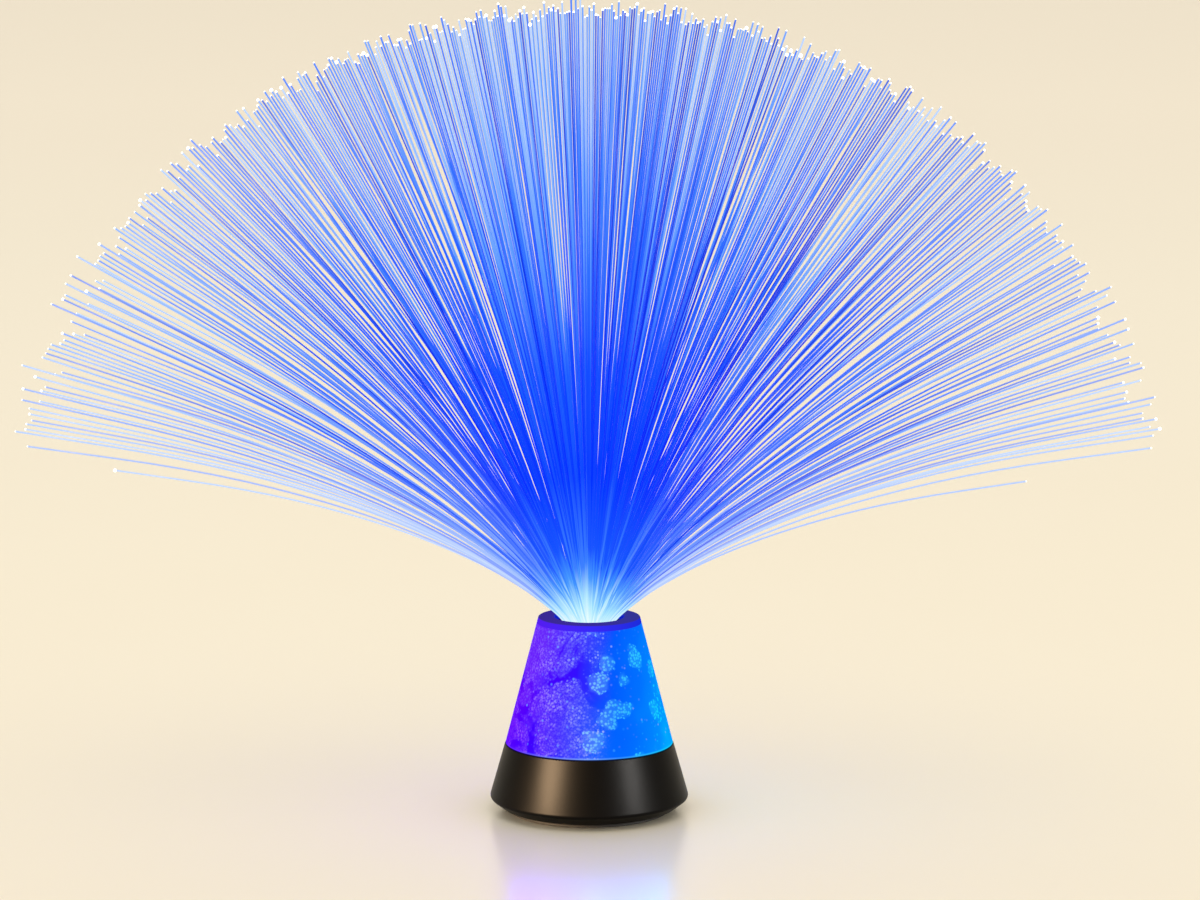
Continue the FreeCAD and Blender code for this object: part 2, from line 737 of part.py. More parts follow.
def make_reflector():
    """White tray on the deck, with a flared rim and three posts for the light board."""
    body = new_body("reflector_tray")
    rim = spigot_rad - size("spigot_wall") - size("fit_gap")
    revolve(body, "tray_turn", [
        (ZERO, deck_top), (rim, deck_top), (rim, deck_top + size("tray_rim")),
        (rim - size("tray_rim_wall") / 2, deck_top + size("tray_rim")),
        (rim - size("tray_rim_wall") * 2, tray_top), (ZERO, tray_top),
    ])
    extrude(body, "board_posts", circles(board_screw_spots(), size("post_rad")), deck_top,
            size("tray_thick") + size("post_height"))
    extrude(body, "post_holes",
            circles(board_screw_spots(), size("board_screw_rad") + size("small_gap")),
            deck_top, size("tray_thick") + size("post_height"), cut=True)
    extrude(body, "tray_wire_holes", circles(wire_spots(), size("wire_hole_rad")), deck_top,
            size("tray_thick"), cut=True)


def make_light_board():
    """Round board with its lights, its controller and three screws."""
    disc = cylinder("board_disc", size("board_rad"), size("board_thick"), z=board_foot)
    holes = fuse("board_holes", *[
        cylinder(f"board_hole_{i}", size("board_screw_rad") + size("small_gap") * 2,
                 size("board_thick"), x, y, board_foot)
        for i, (x, y) in enumerate(board_screw_spots())
    ])
    keep("light_board", cut("light_board", disc, holes))
    screws = []
    length = size("board_thick") + size("post_height") + size("tray_thick") + size("deck_thick") / 2
    for i, (x, y) in enumerate(board_screw_spots()):
        head = cylinder(f"board_screw_head_{i}", size("board_screw_head"),
                        size("board_screw_head_thick"), x, y, board_top)
        shank = cylinder(f"board_screw_shank_{i}", size("board_screw_rad"),
                         length + size("board_screw_head_thick") / 2, x, y, board_top - length)
        screws.append(fuse(f"board_screw_{i}", head, shank))
    group("board_screws", *screws)
    body = box("main_led_body", size("main_led_size"), size("main_led_size"),
               size("main_led_case"), ZERO, ZERO, board_top)
    lens = cylinder("main_led_lens", size("main_led_size") * size("lens_share"),
                    size("main_led_height"), z=board_top)
    keep("main_led", fuse("main_led", body, lens))
    lights = []
    for i in range(6):
        angle = 60 * i
        turn = Rotation(Vector(0, 0, 1), angle)
        pieces = []
        for name, half_length, half_width, height in (
            (f"ring_led_case_{i}", size("ring_led_width") / 2, size("ring_led_length") / 2,
             size("ring_led_case")),
            (f"ring_led_lens_{i}", size("ring_led_width") * size("lens_share"),
             size("ring_led_width") * size("lens_share"), size("ring_led_height")),
        ):
            piece = doc.addObject("Part::Box", name)
            bind(piece, "Length", half_length * 2)
            bind(piece, "Width", half_width * 2)
            bind(piece, "Height", height)
            piece.Placement = Placement(Vector(), turn)
            cos, sin = math.cos(math.radians(angle)), math.sin(math.radians(angle))
            inward = ring_led_circle - half_length
            place(piece, inward * cos + half_width * sin, inward * sin - half_width * cos, board_top)
            pieces.append(piece)
        lights.append(fuse(f"ring_led_{i}", *pieces))
    group("shade_leds", *lights)
    keep("controller_chip", box("controller_chip", size("chip_length"), size("chip_width"),
                                size("chip_height"), ZERO, size("chip_y"), board_top))


def wire(name, corners):
    """Round wire along straight runs joined by bends, square to what it meets at both ends."""
    bend = float(size("wire_bend"))
    spots = [Vector(*(float(c) for c in corner)) for corner in corners]
    edges, last = [], spots[0]
    for before, corner, after in zip(spots, spots[1:], spots[2:]):
        come = (corner - before).normalize()
        go = (after - corner).normalize()
        enter, leave = corner - come * bend, corner + go * bend
        middle = enter + go * bend
        waist = middle + (corner - middle).normalize() * bend
        edges += [Part.LineSegment(last, enter).toShape(), Part.Arc(enter, waist, leave).toShape()]
        last = leave
    edges.append(Part.LineSegment(last, spots[-1]).toShape())
    path = Part.Wire(edges)
    start = (spots[1] - spots[0]).normalize()
    ring = Part.Wire(Part.makeCircle(float(size("wire_rad")), spots[0], start))
    tube = path.makePipeShell([ring], True, False)
    expected = math.pi * float(size("wire_rad")) ** 2 * path.Length
    print(f"{name}: volume over section times length {tube.Volume / expected:.4f}")
    return feature(name, tube)


def make_wires():
    """Red from the positive contact to the switch, switch to board, and black to the board."""
    red, black = tab_spots()
    thick = size("contact_thick") / 2
    level = roof_top + size("tab_rise") - size("wire_rad") * 1.5
    pin_top = switch_foot + size("switch_height") + size("pin_width")
    hole_black, hole_switch = wire_spots()
    wire("wire_positive", [
        (red[0], red[1] - thick, level), (red[0], switch_pin_y, level),
        (switch_x, switch_pin_y, level), (switch_x, switch_pin_y, pin_top),
    ])
    wire("wire_switched", [
        (switch_x, -switch_pin_y, pin_top), (switch_x, -switch_pin_y, level),
        (hole_switch[0], -switch_pin_y, level), (hole_switch[0], -switch_pin_y, board_foot),
    ])
    wire("wire_negative", [
        (black[0], black[1] + thick, level), (black[0], hole_black[1], level),
        (black[0], hole_black[1], board_foot),
    ])


def make_shade():
    """Printed plastic cone that sits over the spigot."""
    body = new_body("shade")
    wall = size("shade_wall")
    revolve(body, "shade_turn", [
        (shade_foot_rad, seat), (size("shade_top_rad"), shade_top),
        (size("shade_top_rad") - wall, shade_top), (shade_foot_rad - wall, seat),
    ])


def make_top_cap():
    """Cap with a plain band, a ring down inside the shade, and the hole that the fibres leave by."""
    body = new_body("top_cap")
    under = cap_top - size("cap_band")
    spigot_out = shade_rad_at(under) - size("shade_wall") - size("fit_gap")
    spigot_in = spigot_out - size("cap_spigot_wall")
    edge = size("cap_edge")
    hole = socket_rad + size("hole_step")
    revolve(body, "cap_turn", [
        (hole, under), (hole, cap_top - edge), (hole + edge, cap_top),
        (size("cap_top_rad") - edge, cap_top), (size("cap_top_rad"), cap_top - edge),
        (size("shade_top_rad"), under), (spigot_out, under), (spigot_out, under - size("cap_spigot")),
        (spigot_in, under - size("cap_spigot")), (spigot_in, under),
    ])


def make_socket():
    """Tube under the cap that holds the ferrule and leads the light up to it."""
    body = new_body("ferrule_socket")
    under = cap_top - size("cap_band")
    spigot_in = (shade_rad_at(under) - size("shade_wall") - size("fit_gap") - size("cap_spigot_wall"))
    flange = spigot_in - size("flange_play")
    foot = board_top + size("socket_foot_gap")
    seat_rad = socket_bore - size("seat_width")
    revolve(body, "socket_turn", [
        (socket_rad, foot), (socket_rad, under - size("flange_thick")),
        (flange, under - size("flange_thick")), (flange, under), (socket_bore, under),
        (socket_bore, ferrule_foot), (seat_rad, ferrule_foot),
        (seat_rad, ferrule_foot - size("seat_thick")),
        (socket_bore, ferrule_foot - size("seat_thick") * 2), (socket_bore, foot),
    ])


def make_ferrule():
    """Sleeve round the bundle, and the potted, polished bundle end inside it."""
    body = new_body("ferrule")
    edge = size("ferrule_edge")
    revolve(body, "ferrule_turn", [
        (ferrule_bore, ferrule_foot), (ferrule_rad - edge, ferrule_foot),
        (ferrule_rad, ferrule_foot + edge), (ferrule_rad, mouth - edge), (ferrule_rad - edge, mouth),
        (ferrule_bore, mouth),
    ])
    keep("bundle_end", cylinder("bundle_end", ferrule_bore, potting_top - ferrule_foot, z=ferrule_foot))


# Shape of a fibre: share of its whole lean where it leaves the ferrule, what the droop adds by
# its tip, how soon the droop comes on, and the share that it has after its first bend
LEAN_AT_MOUTH = 0.485
DROOP = 0.865
DROOP_PACE = 0.336
FIRST_BEND = 0.62
ROW_EVENNESS = 0.7
SPAN_TURN = 12.0
SPAN_GROWTH = 2.0
GOLDEN = (math.sqrt(5) - 1) / 2
SCRAMBLE_INDEX, SCRAMBLE_KIND, SCRAMBLE_SCALE = 12.9898, 78.233, 43758.5453
LENGTH_DRAW, SIDE_DRAW, DEPTH_DRAW = 0, 3, 4


def chance(index, draw):
    """A share from 0 to 1 that looks random and comes out the same on every build."""
    return abs(math.sin(index * SCRAMBLE_INDEX + draw * SCRAMBLE_KIND)) * SCRAMBLE_SCALE % 1.0


def fibre_line(lean, length, turn_height):
    """Centre line in the fibre's own upright plane: straight up, then out in ever flatter spans."""
    spans = 1 + round(lean / SPAN_TURN)
    line = [(0.0, float(potting_top)), (0.0, turn_height)]
    leans = [0.0]
    for i in range(spans):
        start, end = (i / spans) ** SPAN_GROWTH, ((i + 1) / spans) ** SPAN_GROWTH
        share = (start + end) / 2
        run = length * (end - start)
        angle = math.radians(lean * (LEAN_AT_MOUTH + DROOP * share ** DROOP_PACE))
        out, up = line[-1]
        line.append((out + run * math.sin(angle), up + run * math.cos(angle)))
        leans.append(angle)
    return line, leans


def fibre_outline(line, leans, width):
    """Both edges of the bent strip of that width, mitred where it bends."""
    left, right = [], []
    half = width / 2
    for i, (out, up) in enumerate(line):
        before = leans[max(i - 1, 0)]
        after = leans[min(i, len(leans) - 1)]
        middle = (before + after) / 2
        reach = half / math.cos((after - before) / 2)
        across = (math.cos(middle) * reach, -math.sin(middle) * reach)
        left.append((out - across[0], up - across[1]))
        right.append((out + across[0], up + across[1]))
    return right + left[::-1]


def fibre(x, y, index):
    """One fibre: its place in the bundle sets how far, and which way, it leans."""
    reach = float(bundle_rad)
    width = float(size("fibre_width"))
    crowd = float(size("crowd_share"))
    u, v = x / reach, y / reach
    place = u / max(1 - v * v, 1e-6) ** (ROW_EVENNESS / 2)
    sideways = (1 - crowd) * place + crowd * place ** 3
    side = float(size("side_angle")) * sideways
    side += float(size("side_stray")) * (2 * chance(index, SIDE_DRAW) - 1)
    ahead = float(size("depth_angle")) * v
    ahead += float(size("depth_stray")) * (2 * chance(index, DEPTH_DRAW) - 1)
    lean = math.hypot(side, ahead)
    heading = math.degrees(math.atan2(ahead, side)) if lean > 1e-6 else 0.0
    length = float(size("fibre_length")) * (
        1
        - float(size("trim_share")) * sideways ** 2
        + float(size("depth_gain")) * v * v
        - float(size("scatter_share")) * chance(index, LENGTH_DRAW)
    )
    # outer fibres turn first, so that the rows keep their distance as they fan out
    most = math.radians(float(size("side_angle")) * FIRST_BEND)
    fall = (1 - crowd) * u * u + crowd / 2 * u ** 4 + v * v
    turn_height = float(mouth) + width / 2 + reach * most / 4 * (1 - fall)
    line, leans = fibre_line(lean, length, turn_height)
    outline = [Vector(out, -width / 2, up) for out, up in fibre_outline(line, leans, width)]
    solid = Part.Face(Part.makePolygon(outline + outline[:1])).extrude(Vector(0, width, 0))
    solid.rotate(Vector(), Vector(0, 0, 1), heading)
    solid.translate(Vector(x, y, 0))
    return solid


def make_fibres():
    """Rings of fibres round one in the middle; each ring is one node of separate fibres."""
    pitch = float(fibre_pitch)
    index = 0
    for ring in range(1, int(float(size("fibre_rings"))) + 1):
        solids = [fibre(0.0, 0.0, 0)] if ring == 1 else []
        for i in range(6 * ring):
            index += 1
            angle = 2 * math.pi * (i + (ring * GOLDEN) % 1.0) / (6 * ring)
            solids.append(fibre(ring * pitch * math.cos(angle), ring * pitch * math.sin(angle), index))
        feature(f"fibres_ring_{ring}", Part.makeCompound(solids))


make_foot_ring()
make_bottom_cover()
make_battery_door()
make_cover_screws()
make_cells()
make_contacts()
make_switch()
make_base_shell()
make_reflector()
make_light_board()
make_wires()
make_shade()
make_top_cap()
make_socket()
make_ferrule()
make_fibres()
doc.recompute()

faults = [o.Name for o in doc.Objects if {"Invalid", "Error"} & set(o.State)]
faults += [name for name, part in parts.items() if part.Shape.isNull() or not part.Shape.isValid()]
if faults:
    raise RuntimeError(f"these did not build: {sorted(set(faults))}")
os.makedirs("parts", exist_ok=True)
for name, part in parts.items():
    part.Shape.exportStep(f"parts/{name}.step")
print(f"{len(parts)} nodes, {sum(len(part.Shape.Solids) for part in parts.values())} solids")
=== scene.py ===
import json
import math

import bmesh
import bpy
import numpy as np
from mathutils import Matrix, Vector


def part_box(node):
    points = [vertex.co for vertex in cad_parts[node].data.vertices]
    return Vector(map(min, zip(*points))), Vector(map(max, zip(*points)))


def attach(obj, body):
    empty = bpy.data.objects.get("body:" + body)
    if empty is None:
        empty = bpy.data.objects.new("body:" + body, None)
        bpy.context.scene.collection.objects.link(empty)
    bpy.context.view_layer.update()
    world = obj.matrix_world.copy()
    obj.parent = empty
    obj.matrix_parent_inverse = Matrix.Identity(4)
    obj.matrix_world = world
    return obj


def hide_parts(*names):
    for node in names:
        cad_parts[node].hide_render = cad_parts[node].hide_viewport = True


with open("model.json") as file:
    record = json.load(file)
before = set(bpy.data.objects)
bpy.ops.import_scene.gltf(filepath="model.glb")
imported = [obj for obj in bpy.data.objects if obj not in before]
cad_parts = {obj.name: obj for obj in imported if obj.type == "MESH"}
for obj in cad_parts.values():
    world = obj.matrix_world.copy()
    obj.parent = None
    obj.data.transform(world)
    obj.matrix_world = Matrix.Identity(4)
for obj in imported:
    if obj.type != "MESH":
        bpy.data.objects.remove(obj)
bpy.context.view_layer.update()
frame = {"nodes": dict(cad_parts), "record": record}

# Metres throughout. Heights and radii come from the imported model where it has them.
MM = 0.001
TURNS = 224
SHARP_DEGREES = 35

SHADE_FOOT, SHADE_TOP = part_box("shade")[0].z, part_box("shade")[1].z
SHADE_FOOT_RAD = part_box("shade")[1].x
SHADE_WALL = 1.8 * MM

CAP_SKIRT, CAP_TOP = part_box("top_cap")[0].z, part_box("top_cap")[1].z
CAP_SHOULDER_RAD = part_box("top_cap")[1].x
CAP_TOP_RAD = 20.75 * MM
CAP_WALL = 1.6 * MM
CAP_PLAY = 0.6 * MM
CAP_HOLE_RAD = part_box("bundle_end")[1].x + 3.75 * MM
CAP_HOLE_EDGE = 0.5 * MM
CAP_HOLE_DROP = 0.2 * MM

FOOT_RAD, FOOT_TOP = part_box("foot_ring")[1].x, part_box("foot_ring")[1].z
FOOT_WIDTH = 1.8 * MM

HOUSING_FOOT, SPIGOT_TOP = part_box("base_shell")[0].z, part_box("base_shell")[1].z
WIDEST_RAD = 40.8 * MM
WIDEST_HEIGHT = 5.6 * MM
SEAT_RAD = 34.5 * MM
SEAT_WIDTH = 2.2 * MM
SPIGOT_WALL = 1.5 * MM
LIP_RAD = 34.8 * MM
LIP_WIDTH = 1.2 * MM
SHELL_WALL = 2.0 * MM
DECK_TOP = 26.0 * MM
DECK_HOLE_RAD = 2 * MM

FERRULE_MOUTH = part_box("ferrule")[1].z
BUNDLE_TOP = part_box("bundle_end")[1].z

# Rounded corners of the turned profiles, as the corner's number and its radius.
HOUSING_EDGES = {1: 0.3 * MM, 2: 1.6 * MM, 3: 0.35 * MM}
FOOT_EDGES = {0: 0.4 * MM, 1: 0.4 * MM}
SHADE_EDGES = {0: 0.3 * MM, 1: 0.12 * MM}
CAP_EDGES = {2: 0.3 * MM, 3: 0.6 * MM, 4: 0.1 * MM}

# The photograph's view, as fitted: tilt in degrees, lens and sensor in millimetres.
CAMERA_SPOT = (0.0044, -1.3363, 0.3323)
CAMERA_TILT = 7.83
CAMERA_LENS = 99.95
SENSOR_WIDTH = 36.0


def srgb(red, green, blue):
    """A colour given as 0 to 255 on screen, in the linear values that Blender keeps."""
    parts = [c / 255 for c in (red, green, blue)]
    return tuple(c / 12.92 if c <= 0.04045 else ((c + 0.055) / 1.055) ** 2.4 for c in parts) + (1.0,)


# Node helpers

def add(tree, kind, inputs=None, **settings):
    """Adds a node; its inputs are given by name or number, as values or as sockets to link."""
    made = tree.nodes.new(kind)
    for key, value in settings.items():
        setattr(made, key, value)
    for name, value in (inputs or {}).items():
        if isinstance(value, bpy.types.NodeSocket):
            tree.links.new(value, made.inputs[name])
        else:
            made.inputs[name].default_value = value
    return made


def maths(tree, operation, first, second=0.0):
    return add(tree, "ShaderNodeMath", {0: first, 1: second}, operation=operation).outputs[0]


def span(tree, value, low, high, to_low=0.0, to_high=1.0, smooth=True):
    kind = "SMOOTHSTEP" if smooth else "LINEAR"
    inputs = {"Value": value, "From Min": low, "From Max": high, "To Min": to_low, "To Max": to_high}
    return add(tree, "ShaderNodeMapRange", inputs, interpolation_type=kind).outputs[0]


def blend_colours(tree, share, first, second):
    inputs = {0: share, 6: first, 7: second}
    return add(tree, "ShaderNodeMix", inputs, data_type="RGBA", blend_type="MIX").outputs[2]


def ramp(tree, share, stops):
    """Colour stops as (place, colour on screen)."""
    made = add(tree, "ShaderNodeValToRGB", {0: share})
    keys = made.color_ramp.elements
    while len(keys) < len(stops):
        keys.new(0.5)
    for key, (place, colour) in zip(keys, stops):
        key.position = place
        key.color = srgb(*colour)
    return made.outputs[0]


def object_place(tree):
    return add(tree, "ShaderNodeTexCoord").outputs["Object"]


def distance_from_axis(tree, parts):
    """Distance from the lamp's upright axis, from separated object coordinates."""
    level = add(tree, "ShaderNodeCombineXYZ", {0: parts.outputs[0], 1: parts.outputs[1]}).outputs[0]
    return add(tree, "ShaderNodeVectorMath", {0: level}, operation="LENGTH").outputs["Value"]


def new_group(name, inputs, outputs):
    """An empty node group with named float inputs and named outputs."""
    tree = bpy.data.node_groups.new(name, "ShaderNodeTree")
    for label, value in inputs:
        socket = tree.interface.new_socket(label, in_out="INPUT", socket_type="NodeSocketFloat")
        socket.default_value = value
    for label, kind in outputs:
        tree.interface.new_socket(label, in_out="OUTPUT", socket_type=kind)
    return tree, tree.nodes.new("NodeGroupInput"), tree.nodes.new("NodeGroupOutput")


def place_group(tree, group, **values):
    made = tree.nodes.new("ShaderNodeGroup")
    made.node_tree = group
    for name, value in values.items():
        made.inputs[name].default_value = value
    return made


# Effects that several finishes share

def make_moulded_grain():
    """Fine grain of moulded plastic: a height for the bump, and roughness that wanders."""
    tree, given, out = new_group(
        "moulded_grain",
        [("Size", 0.0004), ("Rough", 0.4), ("Wander", 0.06)],
        [("Height", "NodeSocketFloat"), ("Roughness", "NodeSocketFloat")],
    )
    place = object_place(tree)
    scale = maths(tree, "DIVIDE", 1.0, given.outputs["Size"])
    fine = add(tree, "ShaderNodeTexNoise", {"Vector": place, "Scale": scale, "Detail": 3.0})
    slow = add(tree, "ShaderNodeTexNoise", {"Vector": place, "Scale": 90.0, "Detail": 4.0})
    drift = maths(tree, "MULTIPLY", maths(tree, "SUBTRACT", slow.outputs[0], 0.5), given.outputs["Wander"])
    rough = maths(tree, "ADD", given.outputs["Rough"], drift)
    tree.links.new(fine.outputs[0], out.inputs["Height"])
    tree.links.new(rough, out.inputs["Roughness"])
    return tree


def make_lamp_light():
    """Colour of the lights inside: violet on one side, blue across the middle, azure on the other."""
    tree, _, out = new_group("lamp_light", [], [("Color", "NodeSocketColor")])
    place = object_place(tree)
    parts = add(tree, "ShaderNodeSeparateXYZ", {0: place})
    from_axis = distance_from_axis(tree, parts)
    across = maths(tree, "DIVIDE", parts.outputs[0], from_axis)
    cloud = add(tree, "ShaderNodeTexNoise", {"Vector": place, "Scale": 48.0, "Detail": 2.0}).outputs[0]
    drift = maths(tree, "MULTIPLY", maths(tree, "SUBTRACT", cloud, 0.5), 0.5)
    rise = span(tree, parts.outputs[2], SHADE_FOOT, CAP_TOP, 0.1, -0.32, smooth=False)
    shifted = maths(tree, "ADD", maths(tree, "ADD", across, drift), rise)
    colour = ramp(tree, span(tree, shifted, -1.0, 1.0, smooth=False), [
        (0.0, (92, 0, 244)), (0.14, (64, 0, 254)), (0.32, (50, 14, 255)), (0.48, (26, 58, 255)),
        (0.6, (0, 88, 255)), (0.8, (0, 110, 255)), (0.95, (0, 140, 255)), (1.0, (0, 166, 255)),
    ])
    tree.links.new(colour, out.inputs["Color"])
    return tree


grain_group = make_moulded_grain()
light_group = make_lamp_light()


def new_finish(name, **sockets):
    """A material whose Principled shader has these plain values; returns the material, tree and shader."""
    material = bpy.data.materials.new(name)
    material.use_nodes = True
    tree = material.node_tree
    shader = tree.nodes["Principled BSDF"]
    for label, value in sockets.items():
        shader.inputs[label.replace("_", " ")].default_value = value
    return material, tree, shader


def bump(tree, shader, height, depth):
    made = add(tree, "ShaderNodeBump", {"Height": height, "Distance": depth, "Strength": 1.0})
    tree.links.new(made.outputs[0], shader.inputs["Normal"])


def moulded(name, dark, light, size=0.4 * MM, rough=0.4, depth=0.02 * MM, wander=0.1, **sockets):
    """Moulded plastic or rubber: two near shades in slow patches, with its grain."""
    material, tree, shader = new_finish(name, **sockets)
    grain = place_group(tree, grain_group, Size=size, Rough=rough, Wander=wander)
    patches = add(tree, "ShaderNodeTexNoise", {"Vector": object_place(tree), "Scale": 140.0, "Detail": 5.0})
    colour = blend_colours(tree, span(tree, patches.outputs[0], 0.35, 0.65), srgb(*dark), srgb(*light))
    tree.links.new(colour, shader.inputs["Base Color"])
    tree.links.new(grain.outputs["Roughness"], shader.inputs["Roughness"])
    bump(tree, shader, grain.outputs["Height"], depth)
    return material


# Finishes

def make_satin_black():
    return moulded("satin_black", (4, 3, 2), (6, 4, 3), size=0.3 * MM, rough=0.39, depth=0.012 * MM,
                   wander=0.05, Specular_IOR_Level=0.055)


def brighter_in_reflections(tree, colour, gain=6.0):
    """The colour as the camera sees it, and brighter by the gain for every other ray."""
    spill = span(tree, add(tree, "ShaderNodeLightPath").outputs["Is Camera Ray"], 0.0, 1.0, gain, 1.0)
    return add(tree, "ShaderNodeVectorMath", {0: colour, "Scale": spill}, operation="SCALE").outputs[0]


def scattered(tree, place, scale, cover, tight, loose):
    """Fine round dots that thin out one by one where their cover gets low."""
    cells = add(tree, "ShaderNodeTexVoronoi", {"Vector": place, "Scale": scale})
    spot = span(tree, cells.outputs["Distance"], tight, loose, 1.0, 0.0)
    lot = add(tree, "ShaderNodeSeparateColor", {0: cells.outputs["Color"]}).outputs[0]
    here = span(tree, maths(tree, "SUBTRACT", cover, lot), -0.06, 0.06)
    return maths(tree, "MULTIPLY", spot, here)


def rounds_of_cells(tree, place, scale, ragged):
    """Roundish patches with a ragged edge, in some of the cells of a loose pattern."""
    cells = add(tree, "ShaderNodeTexVoronoi", {"Vector": place, "Scale": scale, "Randomness": 0.9})
    away = maths(tree, "ADD", cells.outputs["Distance"], maths(tree, "MULTIPLY", ragged, 0.4))
    lot = add(tree, "ShaderNodeSeparateColor", {0: cells.outputs["Color"]}).outputs[1]
    return maths(tree, "MULTIPLY", span(tree, away, 0.48, 0.6, 1.0, 0.0), span(tree, lot, 0.25, 0.45))


# Print of the shade: how many features there are to a metre, and where its sides begin and end.
CLOUDS, SHADING, SPECKS, STIPPLE_DOTS = 44.0, 150.0, 1000.0, 900.0
ROUNDS, ROUND_EDGES, ROUND_DOTS = (66.0, 87.0), 160.0, 800.0
VIOLET_SIDE, CLOUDS_END = (-34 * MM, 10 * MM), (-7 * MM, 11 * MM)
AZURE_SIDE, ROUNDS_BEGIN = (-2 * MM, 30 * MM), (-10 * MM, 4 * MM)
# Across which the painted rim light at the shade's foot changes colour.
RIM_LIGHT_SIDES = (-30 * MM, 30 * MM)


def print_clouds(tree, place, across, specks):
    """Clouds of the violet side: where they lie, their fine squiggles and their dots."""
    clouds = add(tree, "ShaderNodeTexNoise", {
        "Vector": place, "Scale": CLOUDS, "Detail": 3.0, "Roughness": 0.6, "Distortion": 0.8,
    }).outputs[0]
    left = span(tree, across, *CLOUDS_END, 1.0, 0.0)
    cover = maths(tree, "MULTIPLY", span(tree, clouds, 0.42, 0.5), left)
    shading = add(tree, "ShaderNodeTexNoise", {"Vector": place, "Scale": SHADING, "Detail": 2.0}).outputs[0]
    worms = maths(tree, "ABSOLUTE", maths(tree, "SUBTRACT", specks, 0.5))
    squiggle = maths(tree, "MULTIPLY", span(tree, worms, 0.01, 0.1, 1.0, 0.0),
                     span(tree, shading, 0.35, 0.65, 0.25, 0.85))
    dots = scattered(tree, place, STIPPLE_DOTS, cover, 0.2, 0.6)
    stipple = maths(tree, "MULTIPLY", dots, span(tree, shading, 0.4, 0.7, 0.2, 0.85))
    return cover, maths(tree, "MULTIPLY", squiggle, cover), stipple


def print_rounds(tree, place, across):
    """Rounds of the azure side: where they lie and their dots."""
    noise = {"Vector": place, "Scale": ROUND_EDGES, "Detail": 1.0}
    edges = add(tree, "ShaderNodeTexNoise", noise).outputs[0]
    rounds = maths(tree, "MAXIMUM", *(rounds_of_cells(tree, place, scale, edges) for scale in ROUNDS))
    cover = maths(tree, "MULTIPLY", rounds, span(tree, across, *ROUNDS_BEGIN))
    return cover, scattered(tree, place, ROUND_DOTS, cover, 0.25, 0.6)


def make_shade_print():
    """Lit printed plastic: stippled clouds on the violet side, rounds of fine dots on the azure side, and at
    its foot a painted rim light over a painted seam shadow.
    """
    material, tree, shader = new_finish("shade_print", Roughness=0.5, Specular_IOR_Level=0.0,
                                        Emission_Strength=1.0)
    place = object_place(tree)
    parts = add(tree, "ShaderNodeSeparateXYZ", {0: place})
    across, height = parts.outputs[0], parts.outputs[2]
    specks = add(tree, "ShaderNodeTexNoise", {"Vector": place, "Scale": SPECKS, "Detail": 1.0}).outputs[0]
    cloud_cover, squiggle, stipple = print_clouds(tree, place, across, specks)
    round_cover, dots = print_rounds(tree, place, across)

    violet = span(tree, across, *VIOLET_SIDE, smooth=False)
    lilac = ramp(tree, violet, [
        (0.0, (136, 24, 255)), (0.3, (126, 66, 255)), (0.65, (104, 104, 255)), (1.0, (92, 142, 255)),
    ])
    pale_lilac = ramp(tree, violet, [
        (0.0, (140, 50, 255)), (0.3, (158, 120, 255)), (0.65, (150, 160, 255)), (1.0, (170, 200, 255)),
    ])
    cyan = ramp(tree, span(tree, across, *AZURE_SIDE, smooth=False), [
        (0.0, (140, 200, 255)), (0.4, (64, 186, 255)), (1.0, (8, 222, 255)),
    ])
    # Painted light: a bright rim line just above the shade's foot.
    foot_rim_light = ramp(tree, span(tree, across, *RIM_LIGHT_SIDES, smooth=False), [
        (0.0, (96, 40, 255)), (0.45, (130, 170, 255)), (0.7, (60, 150, 255)), (1.0, (20, 210, 255)),
    ])
    lit_foot = span(tree, height, SHADE_FOOT + 0.6 * MM, SHADE_FOOT + 1.3 * MM, 0.75, 0.0)
    # Painted shadow: a dark line along the seam where the shade meets the housing.
    seam_shadow = span(tree, height, SHADE_FOOT + 0.3 * MM, SHADE_FOOT + 0.6 * MM, 0.95, 0.0)

    printed = place_group(tree, light_group).outputs["Color"]
    for share, colour in (
        (maths(tree, "MULTIPLY", cloud_cover, 0.2), lilac),
        (squiggle, lilac),
        (stipple, pale_lilac),
        (maths(tree, "MULTIPLY", round_cover, 0.22), cyan),
        (maths(tree, "MULTIPLY", dots, 0.85), cyan),
        (lit_foot, foot_rim_light),
        (seam_shadow, srgb(4, 2, 30)),
    ):
        printed = blend_colours(tree, share, printed, colour)
    tree.links.new(brighter_in_reflections(tree, printed), shader.inputs["Emission Color"])
    tree.links.new(blend_colours(tree, 0.96, printed, srgb(2, 2, 12)), shader.inputs["Base Color"])
    bump(tree, shader, specks, 0.01 * MM)
    return material


